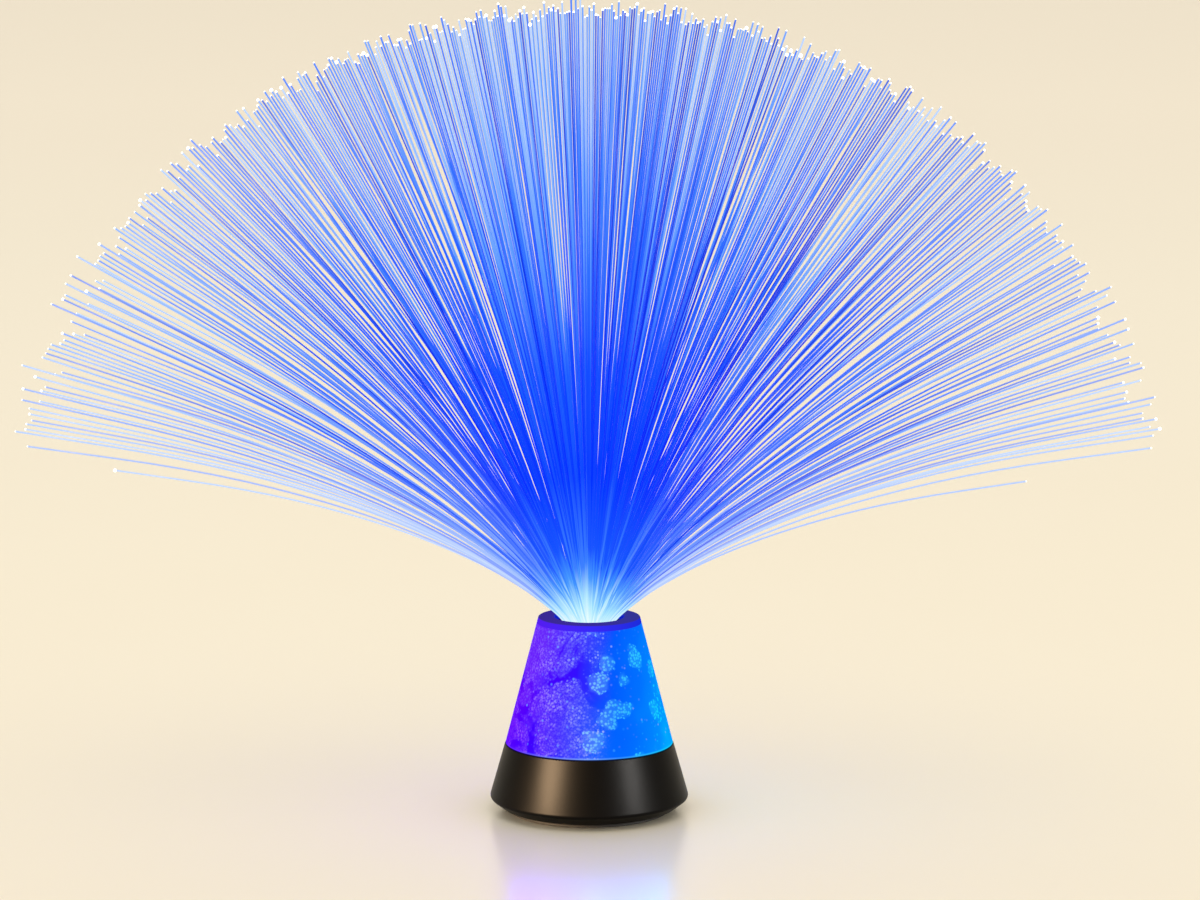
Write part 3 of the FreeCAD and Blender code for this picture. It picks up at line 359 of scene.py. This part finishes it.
def make_cap_plastic():
    """Dark translucent violet plastic: its band takes a painted glow of the light inside, its flat top
    hardly does, and the hole's wall has a painted blue glow.
    """
    material, tree, shader = new_finish("cap_plastic", Specular_IOR_Level=0.0, Emission_Strength=1.0)
    place = object_place(tree)
    parts = add(tree, "ShaderNodeSeparateXYZ", {0: place})
    from_axis = distance_from_axis(tree, parts)
    upward = add(tree, "ShaderNodeSeparateXYZ", {0: add(tree, "ShaderNodeNewGeometry").outputs["Normal"]})
    flat = span(tree, upward.outputs[2], 0.35, 0.9)
    light = place_group(tree, light_group).outputs["Color"]
    band = ramp(tree, span(tree, parts.outputs[0], -22 * MM, 22 * MM, smooth=False), [
        (0.0, (84, 26, 238)), (0.5, (55, 38, 248)), (1.0, (22, 44, 214)),
    ])
    # Painted light: the wall of the hole glows blue, as if lit by the bundle of fibres beside it.
    hole_wall_glow = span(tree, from_axis, CAP_HOLE_RAD + 0.1 * MM, CAP_HOLE_RAD + 0.7 * MM, 1.0, 0.0)
    top = blend_colours(tree, 0.07, srgb(42, 30, 112), light)
    glow = blend_colours(tree, flat, band, top)
    glow = blend_colours(tree, hole_wall_glow, glow, srgb(8, 30, 190))
    tree.links.new(glow, shader.inputs["Emission Color"])
    grain = place_group(tree, grain_group, Size=0.5 * MM, Rough=0.5, Wander=0.08)
    tree.links.new(grain.outputs["Roughness"], shader.inputs["Roughness"])
    # Painted light and shade by facing: the flat top gets a lighter base colour than the band.
    tree.links.new(blend_colours(tree, flat, srgb(10, 6, 40), srgb(40, 30, 80)), shader.inputs["Base Color"])
    bump(tree, shader, grain.outputs["Height"], 0.01 * MM)
    return material


def make_lit_fibre():
    """Plastic fibre full of light: pale at the bundle, deep blue above it, paler towards end and sides."""
    material, tree, shader = new_finish("lit_fibre", Roughness=0.3, Specular_IOR_Level=0.05,
                                        Emission_Strength=1.0)
    share, tint, reach = (add(tree, "ShaderNodeAttribute", attribute_name=kind).outputs["Fac"]
                          for kind in ("share", "tint", "reach"))
    ink = ramp(tree, share, [
        (0.0, (200, 240, 255)), (0.04, (110, 186, 253)), (0.09, (18, 84, 246)), (0.3, (0, 34, 246)),
        (0.6, (6, 52, 226)), (1.0, (50, 96, 222)),
    ])
    deep = ramp(tree, share, [
        (0.0, (214, 247, 255)), (0.03, (160, 222, 254)), (0.07, (64, 148, 253)), (0.11, (20, 84, 252)),
        (0.24, (0, 48, 254)), (0.42, (2, 62, 254)), (0.7, (28, 98, 252)), (1.0, (74, 132, 252)),
    ])
    mid = ramp(tree, share, [
        (0.0, (226, 250, 255)), (0.035, (176, 230, 254)), (0.08, (68, 150, 253)), (0.13, (22, 82, 253)),
        (0.26, (2, 58, 255)), (0.44, (10, 76, 254)), (0.7, (56, 124, 254)), (1.0, (114, 166, 254)),
    ])
    pale = ramp(tree, share, [
        (0.0, (240, 254, 255)), (0.05, (176, 228, 255)), (0.1, (60, 126, 254)), (0.25, (12, 72, 255)),
        (0.42, (24, 94, 255)), (0.6, (84, 148, 255)), (0.82, (142, 186, 255)), (1.0, (186, 213, 255)),
    ])
    colour = blend_colours(tree, span(tree, tint, 0.05, 0.1), ink, deep)
    colour = blend_colours(tree, span(tree, tint, 0.28, 0.46), colour, mid)
    colour = blend_colours(tree, span(tree, tint, 0.64, 0.8), colour, pale)
    outer = ramp(tree, tint, [
        (0.0, (24, 76, 230)), (0.12, (64, 118, 248)), (0.35, (104, 156, 254)), (0.7, (146, 188, 255)),
        (1.0, (198, 221, 255)),
    ])
    aside = maths(tree, "MULTIPLY", span(tree, reach, 0.35, 1.1), span(tree, share, 0.02, 0.1))
    outer = blend_colours(tree, span(tree, reach, 0.75, 1.05, 0.0, 0.55), outer, srgb(222, 232, 250))
    colour = blend_colours(tree, aside, colour, outer)
    fading = maths(tree, "MULTIPLY", span(tree, share, 0.55, 1.0), span(tree, reach, 0.15, 0.9, 0.0, 0.45))
    colour = blend_colours(tree, fading, colour, srgb(192, 214, 252))
    tree.links.new(colour, shader.inputs["Emission Color"])
    tree.links.new(blend_colours(tree, 0.96, colour, srgb(0, 2, 24)), shader.inputs["Base Color"])
    return material


def make_lit_tip():
    """Cut end of a fibre, where the light comes out."""
    material, tree, shader = new_finish("lit_tip", Roughness=0.3, Specular_IOR_Level=0.1,
                                        Emission_Strength=1.0)
    fine = add(tree, "ShaderNodeTexNoise", {"Vector": object_place(tree), "Scale": 900.0}).outputs[0]
    colour = blend_colours(tree, span(tree, fine, 0.3, 0.7), srgb(255, 255, 252), srgb(255, 251, 240))
    tree.links.new(colour, shader.inputs["Emission Color"])
    return material


def make_bundle_glow():
    """Polished end of the bundle: bright rounds of fibre in clear potting."""
    material, tree, shader = new_finish("bundle_glow", Roughness=0.15, Emission_Strength=1.0)
    ends = add(tree, "ShaderNodeTexVoronoi", {"Vector": object_place(tree), "Scale": 1100.0})
    colour = ramp(tree, ends.outputs["Distance"], [(0.0, (232, 252, 255)), (0.5, (120, 196, 250)),
                                                  (0.8, (30, 96, 220))])
    tree.links.new(colour, shader.inputs["Emission Color"])
    return material


def brushed(name, dark, light, rough, along):
    """Metal with fine lines: along says how the lines are stretched in X, Y and Z."""
    material, tree, shader = new_finish(name, Metallic=1.0)
    stretched = add(tree, "ShaderNodeMapping", {"Vector": object_place(tree), "Scale": along}).outputs[0]
    lines = add(tree, "ShaderNodeTexNoise", {"Vector": stretched, "Scale": 1.0, "Detail": 4.0}).outputs[0]
    tree.links.new(blend_colours(tree, lines, srgb(*dark), srgb(*light)), shader.inputs["Base Color"])
    tree.links.new(span(tree, lines, 0.2, 0.8, rough - 0.08, rough + 0.1), shader.inputs["Roughness"])
    bump(tree, shader, lines, 0.01 * MM)
    return material


def make_cell_jacket():
    """Shrink sleeve of a cell: dark body with a copper band at its positive end, no lettering."""
    material, tree, shader = new_finish("cell_jacket", Metallic=0.35)
    length = add(tree, "ShaderNodeSeparateXYZ", {0: object_place(tree)}).outputs[1]
    band = ramp(tree, span(tree, length, -20 * MM, 20 * MM, smooth=False), [
        (0.0, (34, 34, 36)), (0.24, (34, 34, 36)), (0.25, (168, 104, 58)), (0.75, (168, 104, 58)),
        (0.76, (34, 34, 36)), (1.0, (34, 34, 36)),
    ])
    grain = place_group(tree, grain_group, Size=1.5 * MM, Rough=0.3, Wander=0.1)
    tree.links.new(band, shader.inputs["Base Color"])
    tree.links.new(grain.outputs["Roughness"], shader.inputs["Roughness"])
    return material


# How far from the lamp the table top's patches fade out, and its painted shade far behind the lamp comes in.
PATCH_FADE = (1.0, 2.5)
FAR_SHADE_FADE = (1.5, 7.0)


def make_floor_finish():
    """Pale glossy table top, darker in tone far behind the lamp as painted shade."""
    material, tree, shader = new_finish("pale_floor", Specular_IOR_Level=0.5, Coat_Weight=0.9,
                                        Coat_Roughness=0.22)
    place = object_place(tree)
    slow = add(tree, "ShaderNodeTexNoise", {"Vector": place, "Scale": 1.2, "Detail": 2.0}).outputs[0]
    parts = add(tree, "ShaderNodeSeparateXYZ", {0: place})
    near = span(tree, distance_from_axis(tree, parts), *PATCH_FADE, 1.0, 0.0)
    patches = maths(tree, "MULTIPLY", span(tree, slow, 0.3, 0.7), near)
    colour = blend_colours(tree, patches, srgb(254, 243, 216), srgb(253, 241, 213))
    # Painted shade: the table top darkens a little far behind the lamp.
    colour = blend_colours(tree, span(tree, parts.outputs[1], *FAR_SHADE_FADE), colour, srgb(249, 235, 209))
    tree.links.new(colour, shader.inputs["Base Color"])
    tree.links.new(span(tree, patches, 0.0, 1.0, 0.36, 0.38), shader.inputs["Roughness"])
    return material


finishes = {
    "black_plastic": make_satin_black(),
    "rubber": moulded("foot_rubber", (20, 19, 18), (27, 25, 24), size=0.5 * MM, rough=0.7, depth=0.03 * MM),
    "shade_print": make_shade_print(),
    "cap_plastic": make_cap_plastic(),
    "fibre": make_lit_fibre(),
    "potting": make_bundle_glow(),
    "ferrule_metal": brushed("ferrule_metal", (60, 62, 80), (104, 106, 126), 0.36, (400, 400, 4000)),
    "white_plastic": moulded("white_plastic", (224, 224, 220), (238, 238, 234), rough=0.35),
    "steel": brushed("screw_steel", (96, 97, 100), (150, 151, 154), 0.34, (2500, 2500, 500)),
    "contact_metal": brushed("contact_metal", (168, 160, 140), (208, 202, 186), 0.28, (400, 400, 2500)),
    "cell_jacket": make_cell_jacket(),
    "board": moulded("board_green", (18, 74, 42), (26, 92, 54), rough=0.3),
    "led": moulded("led_case", (232, 220, 150), (246, 238, 190), rough=0.25),
    "chip": moulded("chip_black", (22, 22, 24), (32, 32, 34), rough=0.5),
    "wire_red": moulded("wire_red", (168, 22, 20), (190, 34, 28), rough=0.4),
    "wire_black": moulded("wire_black", (18, 18, 19), (28, 28, 29), rough=0.4),
}
tip_finish = make_lit_tip()
# Painted shade: the white socket deep in the cap's hole is coloured dark navy, as it looks in shade and blue
# light.
shaded_socket_finish = moulded("socket_painted_shade", (22, 20, 84), (30, 28, 104), rough=0.5, Specular_IOR_Level=0.1)


# Meshes

def new_piece(name, mesh, finish, body, nodes=()):
    """Puts a finished mesh in the scene as a piece of the lamp."""
    piece = bpy.data.objects.new(name, mesh)
    bpy.context.scene.collection.objects.link(piece)
    mesh.materials.append(finish)
    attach(piece, body)
    if nodes:
        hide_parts(*nodes)


def rounded(profile, corner, radius, steps=6):
    """The profile with one of its corners replaced by an arc of that radius."""
    before, spot, after = (Vector(profile[i % len(profile)]) for i in (corner - 1, corner, corner + 1))
    come, go = (spot - before).normalized(), (after - spot).normalized()
    turn = come.angle(go)
    reach = radius * math.tan(turn / 2)
    side = Vector((-come.y, come.x))
    if side.dot(go) < 0:
        side = -side
    middle = spot - come * reach + side * radius
    first = spot - come * reach - middle
    sense = 1 if come.x * go.y - come.y * go.x > 0 else -1
    arc = []
    for i in range(steps + 1):
        angle = sense * turn * i / steps
        c, s = math.cos(angle), math.sin(angle)
        arc.append((middle.x + first.x * c - first.y * s, middle.y + first.x * s + first.y * c))
    return profile[:corner] + arc + profile[corner + 1:]


def soften(profile, edges):
    """Rounds several corners, given as {corner: radius}."""
    for corner in sorted(edges, reverse=True):
        profile = rounded(profile, corner, edges[corner])
    return profile


def turned(name, profile):
    """Turns a closed profile of (radius, height) round the lamp's axis."""
    angles = np.linspace(0, 2 * math.pi, TURNS, endpoint=False)
    spots = np.array(profile)
    count = len(spots)
    around = np.stack([np.cos(angles), np.sin(angles)], 1)
    verts = np.empty((TURNS, count, 3))
    verts[..., 0] = around[:, :1] * spots[:, 0]
    verts[..., 1] = around[:, 1:] * spots[:, 0]
    verts[..., 2] = spots[:, 1]
    step, ring = np.meshgrid(np.arange(TURNS), np.arange(count), indexing="ij")
    after, above = (step + 1) % TURNS, (ring + 1) % count
    faces = np.stack([step * count + ring, after * count + ring, after * count + above,
                      step * count + above], -1).reshape(-1, 4)
    mesh = bpy.data.meshes.new(name)
    mesh.from_pydata(verts.reshape(-1, 3).tolist(), [], faces.tolist())
    check = bmesh.new()
    check.from_mesh(mesh)
    bmesh.ops.recalc_face_normals(check, faces=check.faces)
    check.to_mesh(mesh)
    check.free()
    mesh.shade_smooth()
    mesh.set_sharp_from_angle(angle=math.radians(SHARP_DEGREES))
    return mesh


def make_housing():
    """Black housing: the cone from its lip up to the shade's seat, the spigot inside it and the deck."""
    spigot_rad = SEAT_RAD - SEAT_WIDTH
    inner_rad = spigot_rad - SPIGOT_WALL
    profile = [
        (LIP_RAD, HOUSING_FOOT), (LIP_RAD + LIP_WIDTH, HOUSING_FOOT), (WIDEST_RAD, WIDEST_HEIGHT),
        (SEAT_RAD, SHADE_FOOT), (spigot_rad, SHADE_FOOT), (spigot_rad, SPIGOT_TOP),
        (inner_rad, SPIGOT_TOP), (inner_rad, DECK_TOP), (DECK_HOLE_RAD, DECK_TOP),
        (DECK_HOLE_RAD, DECK_TOP - SHELL_WALL), (SEAT_RAD - SHELL_WALL, DECK_TOP - SHELL_WALL),
        (WIDEST_RAD - SHELL_WALL, WIDEST_HEIGHT),
    ]
    mesh = turned("housing", soften(profile, HOUSING_EDGES))
    new_piece("housing", mesh, finishes["black_plastic"], "base", ["base_shell"])


def make_foot():
    """Rubber ring that the housing stands on."""
    inner_rad = FOOT_RAD - FOOT_WIDTH
    profile = [(inner_rad, 0.0), (FOOT_RAD, 0.0), (FOOT_RAD, FOOT_TOP), (inner_rad, FOOT_TOP)]
    mesh = turned("rubber_foot", soften(profile, FOOT_EDGES))
    new_piece("rubber_foot", mesh, finishes["rubber"], "base", ["foot_ring"])


def make_shade():
    """Printed shade: a hollow cone between the housing's seat and the cap."""
    profile = [(SHADE_FOOT_RAD, SHADE_FOOT), (CAP_SHOULDER_RAD, SHADE_TOP),
               (CAP_SHOULDER_RAD - SHADE_WALL, SHADE_TOP), (SHADE_FOOT_RAD - SHADE_WALL, SHADE_FOOT)]
    mesh = turned("printed_shade", soften(profile, SHADE_EDGES))
    new_piece("printed_shade", mesh, finishes["shade_print"], "base", ["shade"])


def make_cap():
    """Cap of the shade: the band, the flat top with its hole, and the skirt that plugs into the shade."""
    plug_rad = CAP_SHOULDER_RAD - SHADE_WALL - CAP_PLAY
    profile = [
        (CAP_HOLE_RAD, SHADE_TOP), (CAP_HOLE_RAD, CAP_TOP - CAP_HOLE_DROP),
        (CAP_HOLE_RAD + CAP_HOLE_EDGE, CAP_TOP), (CAP_TOP_RAD, CAP_TOP), (CAP_SHOULDER_RAD, SHADE_TOP),
        (plug_rad, SHADE_TOP), (plug_rad, CAP_SKIRT), (plug_rad - CAP_WALL, CAP_SKIRT),
        (plug_rad - CAP_WALL, SHADE_TOP),
    ]
    mesh = turned("cap", soften(profile, CAP_EDGES))
    new_piece("cap", mesh, finishes["cap_plastic"], "base", ["top_cap"])


# Spray of fibres, by the same law as the solids: rings round one in the middle, and a fibre's place in
# the bundle sets how far it leans. The leans are then eased apart a little. Lengths that aren't marked
# with MM are millimetres here, and angles are degrees.
FIBRE_RINGS = 12
SOLID_WIDTH = 0.55
FIBRE_PLAY = 0.04
FIBRE_PITCH = SOLID_WIDTH * math.sqrt(2) + FIBRE_PLAY
BUNDLE_RAD = FIBRE_PITCH * FIBRE_RINGS
STRAND_RAD = 0.35 * MM
FREE_LENGTH = 251.0
SIDE_ANGLE = 62.5
DEPTH_ANGLE = 18.0
CROWD_SHARE = 0.4
TRIM_SHARE = 0.055
DEPTH_GAIN = 0.06
SCATTER_SHARE = 0.03
SIDE_STRAY = 1.0
DEPTH_STRAY = 0.3
LEAN_AT_MOUTH = 0.485
DROOP = 0.865
DROOP_PACE = 0.336
FIRST_BEND = 0.62
ROW_EVENNESS = 0.7
SPAN_TURN = 12.0
SPAN_GROWTH = 2.0
EVEN_SHARE = 0.9
EVEN_WINDOW = 31
EVEN_ROUNDS = 5
EVEN_AT = 0.85
EVEN_STEP = 0.8
STRAY_LEFT, STRAY_RIGHT = 0.83, 0.77
DEEPER_ON_RIGHT = 1.45
TIP_RAD, TIP_GROWTH, TIP_RARITY = 0.4, 0.5, 5
STRAND_SIDES = 6
STEPS_PER_SPAN = 5
GOLDEN = (math.sqrt(5) - 1) / 2
SCRAMBLE_INDEX, SCRAMBLE_KIND, SCRAMBLE_SCALE = 12.9898, 78.233, 43758.5453
LENGTH_DRAW, SIDE_DRAW, DEPTH_DRAW, TINT_DRAW, TIP_DRAW = 0, 3, 4, 9, 10
SPRAY_BANDS = (
    ("strands_inner", 0, 7, range(1, 7)),
    ("strands_middle", 7, 10, range(7, 10)),
    ("strands_outer", 10, 13, range(10, 13)),
)


def chance(index, draw):
    """A share from 0 to 1 that looks random and comes out the same every time."""
    return abs(math.sin(index * SCRAMBLE_INDEX + draw * SCRAMBLE_KIND)) * SCRAMBLE_SCALE % 1.0


def bundle_places():
    """Place of every fibre in the bundle, as (number, ring, x, y)."""
    places = [(0, 0, 0.0, 0.0)]
    for ring in range(1, FIBRE_RINGS + 1):
        for i in range(6 * ring):
            angle = 2 * math.pi * (i + (ring * GOLDEN) % 1.0) / (6 * ring)
            away = FIBRE_PITCH * ring
            places.append((len(places), ring, away * math.cos(angle), away * math.sin(angle)))
    return places


def sideways_lean(index, x, y):
    """How far a fibre leans to the side, in degrees, and that lean as a share without its stray."""
    u, v = x / BUNDLE_RAD, y / BUNDLE_RAD
    place = u / max(1 - v * v, 1e-6) ** (ROW_EVENNESS / 2)
    sideways = (1 - CROWD_SHARE) * place + CROWD_SHARE * place ** 3
    return SIDE_ANGLE * sideways + SIDE_STRAY * (2 * chance(index, SIDE_DRAW) - 1), sideways


def evened(leans):
    """The same leans, with the clumps and gaps between neighbours mostly spread out."""
    order = np.argsort(leans)
    ranked = leans[order]
    edge = EVEN_WINDOW // 2
    before = 2 * ranked[0] - ranked[edge:0:-1]
    after = 2 * ranked[-1] - ranked[-2:-edge - 2:-1]
    window = np.ones(EVEN_WINDOW) / EVEN_WINDOW
    spread = np.convolve(np.concatenate([before, ranked, after]), window, "valid")
    result = np.empty_like(leans)
    result[order] = ranked + EVEN_SHARE * (spread - ranked)
    return result


def bent_line(lean, length, turn_height):
    """Corners (out, up) of one fibre in its own upright plane: straight up, then out in flatter spans."""
    spans = 1 + round(lean / SPAN_TURN)
    line = [(0.0, BUNDLE_TOP / MM), (0.0, turn_height)]
    for i in range(spans):
        start, end = (i / spans) ** SPAN_GROWTH, ((i + 1) / spans) ** SPAN_GROWTH
        run = length * (end - start)
        angle = math.radians(lean * (LEAN_AT_MOUTH + DROOP * ((start + end) / 2) ** DROOP_PACE))
        out, up = line[-1]
        line.append((out + run * math.sin(angle), up + run * math.cos(angle)))
    return line


def eased(line):
    """Points and leans of a smooth curve that touches every span of the line at its middle."""
    corners = np.array(line)
    middles = (corners[1:] + corners[:-1]) / 2
    points, leans = [corners[0]], [0.0]
    for before, corner, after in zip(middles, corners[1:-1], middles[1:]):
        for t in np.arange(STEPS_PER_SPAN) / STEPS_PER_SPAN:
            points.append((1 - t) ** 2 * before + 2 * t * (1 - t) * corner + t * t * after)
            slope = (1 - t) * (corner - before) + t * (after - corner)
            leans.append(math.atan2(slope[0], slope[1]))
    last = corners[-1] - middles[-1]
    points += [middles[-1], corners[-1]]
    leans += [math.atan2(last[0], last[1])] * 2
    return np.array(points), np.array(leans)


def strand_line(index, x, y, side, shorter=1.0):
    """Points of one fibre's centre line, its lean at each, the way it heads and the share of its length."""
    u, v = x / BUNDLE_RAD, y / BUNDLE_RAD
    sideways = sideways_lean(index, x, y)[1]
    ahead = DEPTH_ANGLE * v + DEPTH_STRAY * (2 * chance(index, DEPTH_DRAW) - 1)
    lean, heading = math.hypot(side, ahead), math.atan2(ahead, side)
    trim = 1 - TRIM_SHARE * sideways ** 2 + DEPTH_GAIN * v * v - SCATTER_SHARE * chance(index, LENGTH_DRAW)
    length = FREE_LENGTH * trim * shorter
    fall = (1 - CROWD_SHARE) * u * u + CROWD_SHARE / 2 * u ** 4 + v * v
    rise = BUNDLE_RAD * math.radians(SIDE_ANGLE * FIRST_BEND) / 4 * (1 - fall)
    line = bent_line(lean, length, FERRULE_MOUTH / MM + SOLID_WIDTH / 2 + rise)
    flat, angles = eased(line)
    out, up = flat[:, 0], flat[:, 1]
    points = np.stack([x + out * math.cos(heading), y + out * math.sin(heading), up], 1) * MM
    passed = np.concatenate([[0.0], np.cumsum(np.linalg.norm(np.diff(flat, axis=0), axis=1))])
    free = passed - (passed[-1] - length)
    return points, angles, heading, np.clip(free / free[-1], 0, 1)


def front_angle(index, x, y, side):
    """Which way a fibre's outer part lies from the mouth as the photograph sees it, in degrees."""
    points, _, _, shares = strand_line(index, x, y, side)
    spot = points[np.searchsorted(shares, EVEN_AT)]
    nearer = CAMERA_SPOT[1] / (CAMERA_SPOT[1] - spot[1])
    across = CAMERA_SPOT[0] + (spot[0] - CAMERA_SPOT[0]) * nearer
    height = CAMERA_SPOT[2] + (spot[2] - CAMERA_SPOT[2]) * nearer
    return math.degrees(math.atan2(across, height - FERRULE_MOUTH))


def fan_out(places):
    """Sideways leans for all fibres, eased apart until their ends lie evenly as seen from the front."""
    sides = np.array([sideways_lean(index, x, y)[0] for index, _, x, y in places])
    low, high = sides.min(), sides.max()
    for _ in range(EVEN_ROUNDS):
        seen = np.array([front_angle(index, x, y, side) for (index, _, x, y), side in zip(places, sides)])
        sides = np.clip(sides + EVEN_STEP * (evened(seen) - seen), low, high)
    return sides


def strand_mesh(points, angles, heading):
    """Vertices of a round strand along its line, ring by ring."""
    turns = np.arange(STRAND_SIDES) * 2 * math.pi / STRAND_SIDES
    outward = np.stack([np.cos(angles) * math.cos(heading), np.cos(angles) * math.sin(heading),
                        -np.sin(angles)], 1)
    across = np.array([-math.sin(heading), math.cos(heading), 0.0])
    ring = outward[:, None, :] * np.cos(turns)[None, :, None] + across * np.sin(turns)[None, :, None]
    return (points[:, None, :] + ring * STRAND_RAD).reshape(-1, 3)


def strand_faces(first, rings):
    faces = []
    for i in range(rings - 1):
        for k in range(STRAND_SIDES):
            a = first + i * STRAND_SIDES + k
            b = first + i * STRAND_SIDES + (k + 1) % STRAND_SIDES
            faces.append((a, b, b + STRAND_SIDES, a + STRAND_SIDES))
    faces.append(tuple(first + k for k in reversed(range(STRAND_SIDES))))
    faces.append(tuple(first + (rings - 1) * STRAND_SIDES + k for k in range(STRAND_SIDES)))
    return faces


def make_spray():
    """Strands in three bands of the bundle, with a lit tip on each."""
    kinds = ("share", "tint", "reach")
    bands = {name: {"verts": [], "faces": [], **{kind: [] for kind in kinds}} for name, *_ in SPRAY_BANDS}
    tips = []
    places = bundle_places()
    sides = fan_out(places)
    shorter = {int(np.argmin(sides)): STRAY_LEFT, int(np.argmax(sides)): STRAY_RIGHT}
    for (index, ring, x, y), side in zip(places, sides.tolist()):
        name = next(n for n, low, high, _ in SPRAY_BANDS if low <= ring < high)
        points, angles, heading, shares = strand_line(index, x, y, side, shorter.get(index, 1.0))
        band = bands[name]
        first = sum(len(verts) for verts in band["verts"])
        band["verts"].append(strand_mesh(points, angles, heading))
        band["faces"] += strand_faces(first, len(points))
        band["share"].append(np.repeat(shares, STRAND_SIDES))
        tint = chance(index, TINT_DRAW) ** (DEEPER_ON_RIGHT if side > 0 else 1.0)
        band["tint"].append(np.full(len(points) * STRAND_SIDES, tint))
        band["reach"].append(np.full(len(points) * STRAND_SIDES, abs(side) / SIDE_ANGLE))
        tips.append((points[-1], (TIP_RAD + TIP_GROWTH * chance(index, TIP_DRAW) ** TIP_RARITY) * MM))
    for name, _, _, rings in SPRAY_BANDS:
        band = bands[name]
        mesh = bpy.data.meshes.new(name)
        mesh.from_pydata(np.concatenate(band["verts"]).tolist(), [], band["faces"])
        for kind in kinds:
            values = mesh.attributes.new(kind, "FLOAT", "POINT")
            values.data.foreach_set("value", np.concatenate(band[kind]).astype(np.float32))
        mesh.shade_smooth()
        new_piece(name, mesh, finishes["fibre"], "spray", [f"fibres_ring_{n}" for n in rings])
    make_tips(tips)


def make_tips(tips):
    """A small bead of light at the end of every fibre."""
    build = bmesh.new()
    for spot, radius in tips:
        made = bmesh.ops.create_icosphere(build, subdivisions=1, radius=radius)
        bmesh.ops.translate(build, verts=made["verts"], vec=Vector(spot))
    mesh = bpy.data.meshes.new("lit_tips")
    build.to_mesh(mesh)
    build.free()
    mesh.shade_smooth()
    new_piece("lit_tips", mesh, tip_finish, "spray")


def dress_nodes():
    """Gives every CAD node that stays in view the finish of its slot, but paints the ferrule socket dark
    navy as painted shade.
    """
    for part in frame["record"]["subparts"]:
        for held in frame["nodes"][part["node"]].material_slots:
            held.material = finishes[part["material_slot"]]
    for held in frame["nodes"]["ferrule_socket"].material_slots:
        held.material = shaded_socket_finish


# Studio

FLOOR_HALF = 400.0
ROOM_RISE = (0.2, 0.4)
ROOM_LIGHT = (1.0, 0.985, 0.96, 1.0)
AIM_HEIGHT = 0.06


def make_floor():
    mesh = bpy.data.meshes.new("table_top")
    corners = [(x * FLOOR_HALF, y * FLOOR_HALF, 0) for x, y in ((-1, -1), (1, -1), (1, 1), (-1, 1))]
    mesh.from_pydata(corners, [], [(0, 1, 2, 3)])
    floor = bpy.data.objects.new("table_top", mesh)
    bpy.context.scene.collection.objects.link(floor)
    mesh.materials.append(make_floor_finish())
    return floor


def spare_from_glare(floor):
    """A group for the lamps that only make highlights: it holds the table top, which they leave alone."""
    group = bpy.data.collections.new("without_glare")
    group.objects.link(floor)
    group.collection_objects[0].light_linking.link_state = "EXCLUDE"
    return group


def make_softbox(name, turn, height, away, width, tall, power, colour, highlights_for=None):
    """A soft lamp aimed at the base, turned in degrees from the camera's side; with a group it only
    makes highlights, on what the group allows."""
    lamp = bpy.data.lights.new(name, "AREA")
    lamp.shape = "RECTANGLE"
    lamp.size, lamp.size_y = width, tall
    lamp.energy = power
    lamp.color = srgb(*colour)[:3]
    holder = bpy.data.objects.new(name, lamp)
    angle = math.radians(turn)
    holder.location = (away * math.sin(angle), -away * math.cos(angle), height)
    aim = Vector((0, 0, AIM_HEIGHT)) - holder.location
    holder.rotation_euler = aim.to_track_quat("-Z", "Y").to_euler()
    holder.visible_camera = False
    holder.visible_diffuse = highlights_for is None
    if highlights_for is not None:
        holder.light_linking.receiver_collection = highlights_for
    bpy.context.scene.collection.objects.link(holder)


def make_world():
    """Even pale light; reflections see a room that darkens above the horizon, the eye an even tone."""
    world = bpy.data.worlds.new("studio")
    world.use_nodes = True
    tree = world.node_tree
    background = tree.nodes["Background"]
    rays = add(tree, "ShaderNodeLightPath")
    seen = maths(tree, "MAXIMUM", rays.outputs["Is Camera Ray"], rays.outputs["Is Glossy Ray"])
    seen = maths(tree, "MAXIMUM", seen, rays.outputs["Is Transmission Ray"])
    direction = add(tree, "ShaderNodeTexCoord").outputs["Generated"]
    up = add(tree, "ShaderNodeSeparateXYZ", {0: direction}).outputs[2]
    room = blend_colours(tree, span(tree, up, *ROOM_RISE), srgb(254, 243, 220), srgb(140, 118, 96))
    colour = blend_colours(tree, seen, ROOM_LIGHT, room)
    colour = blend_colours(tree, rays.outputs["Is Camera Ray"], colour, srgb(242, 229, 205))
    tree.links.new(colour, background.inputs["Color"])
    bpy.context.scene.world = world


def make_camera():
    """The photograph's view: almost level, a long way off."""
    lens = bpy.data.cameras.new("camera")
    lens.sensor_fit = "HORIZONTAL"
    lens.sensor_width = SENSOR_WIDTH
    lens.lens = CAMERA_LENS
    camera = bpy.data.objects.new("camera", lens)
    camera.location = CAMERA_SPOT
    camera.rotation_euler = (math.radians(90 - CAMERA_TILT), 0, 0)
    bpy.context.scene.collection.objects.link(camera)
    bpy.context.scene.camera = camera


make_camera()
make_housing()
make_foot()
make_shade()
make_cap()
make_spray()
dress_nodes()
without_glare = spare_from_glare(make_floor())
make_world()
make_softbox("warm_window", turn=-50, height=0.46, away=1.25, width=0.46, tall=0.5, power=165.0,
             colour=(255, 214, 168), highlights_for=without_glare)
make_softbox("cool_window", turn=56, height=0.46, away=1.25, width=0.36, tall=0.5, power=34.0,
             colour=(255, 252, 248), highlights_for=without_glare)
make_softbox("overhead", turn=10, height=1.7, away=0.5, width=1.2, tall=1.2, power=5.0,
             colour=(255, 248, 238))

bpy.context.scene.view_settings.view_transform = "Standard"
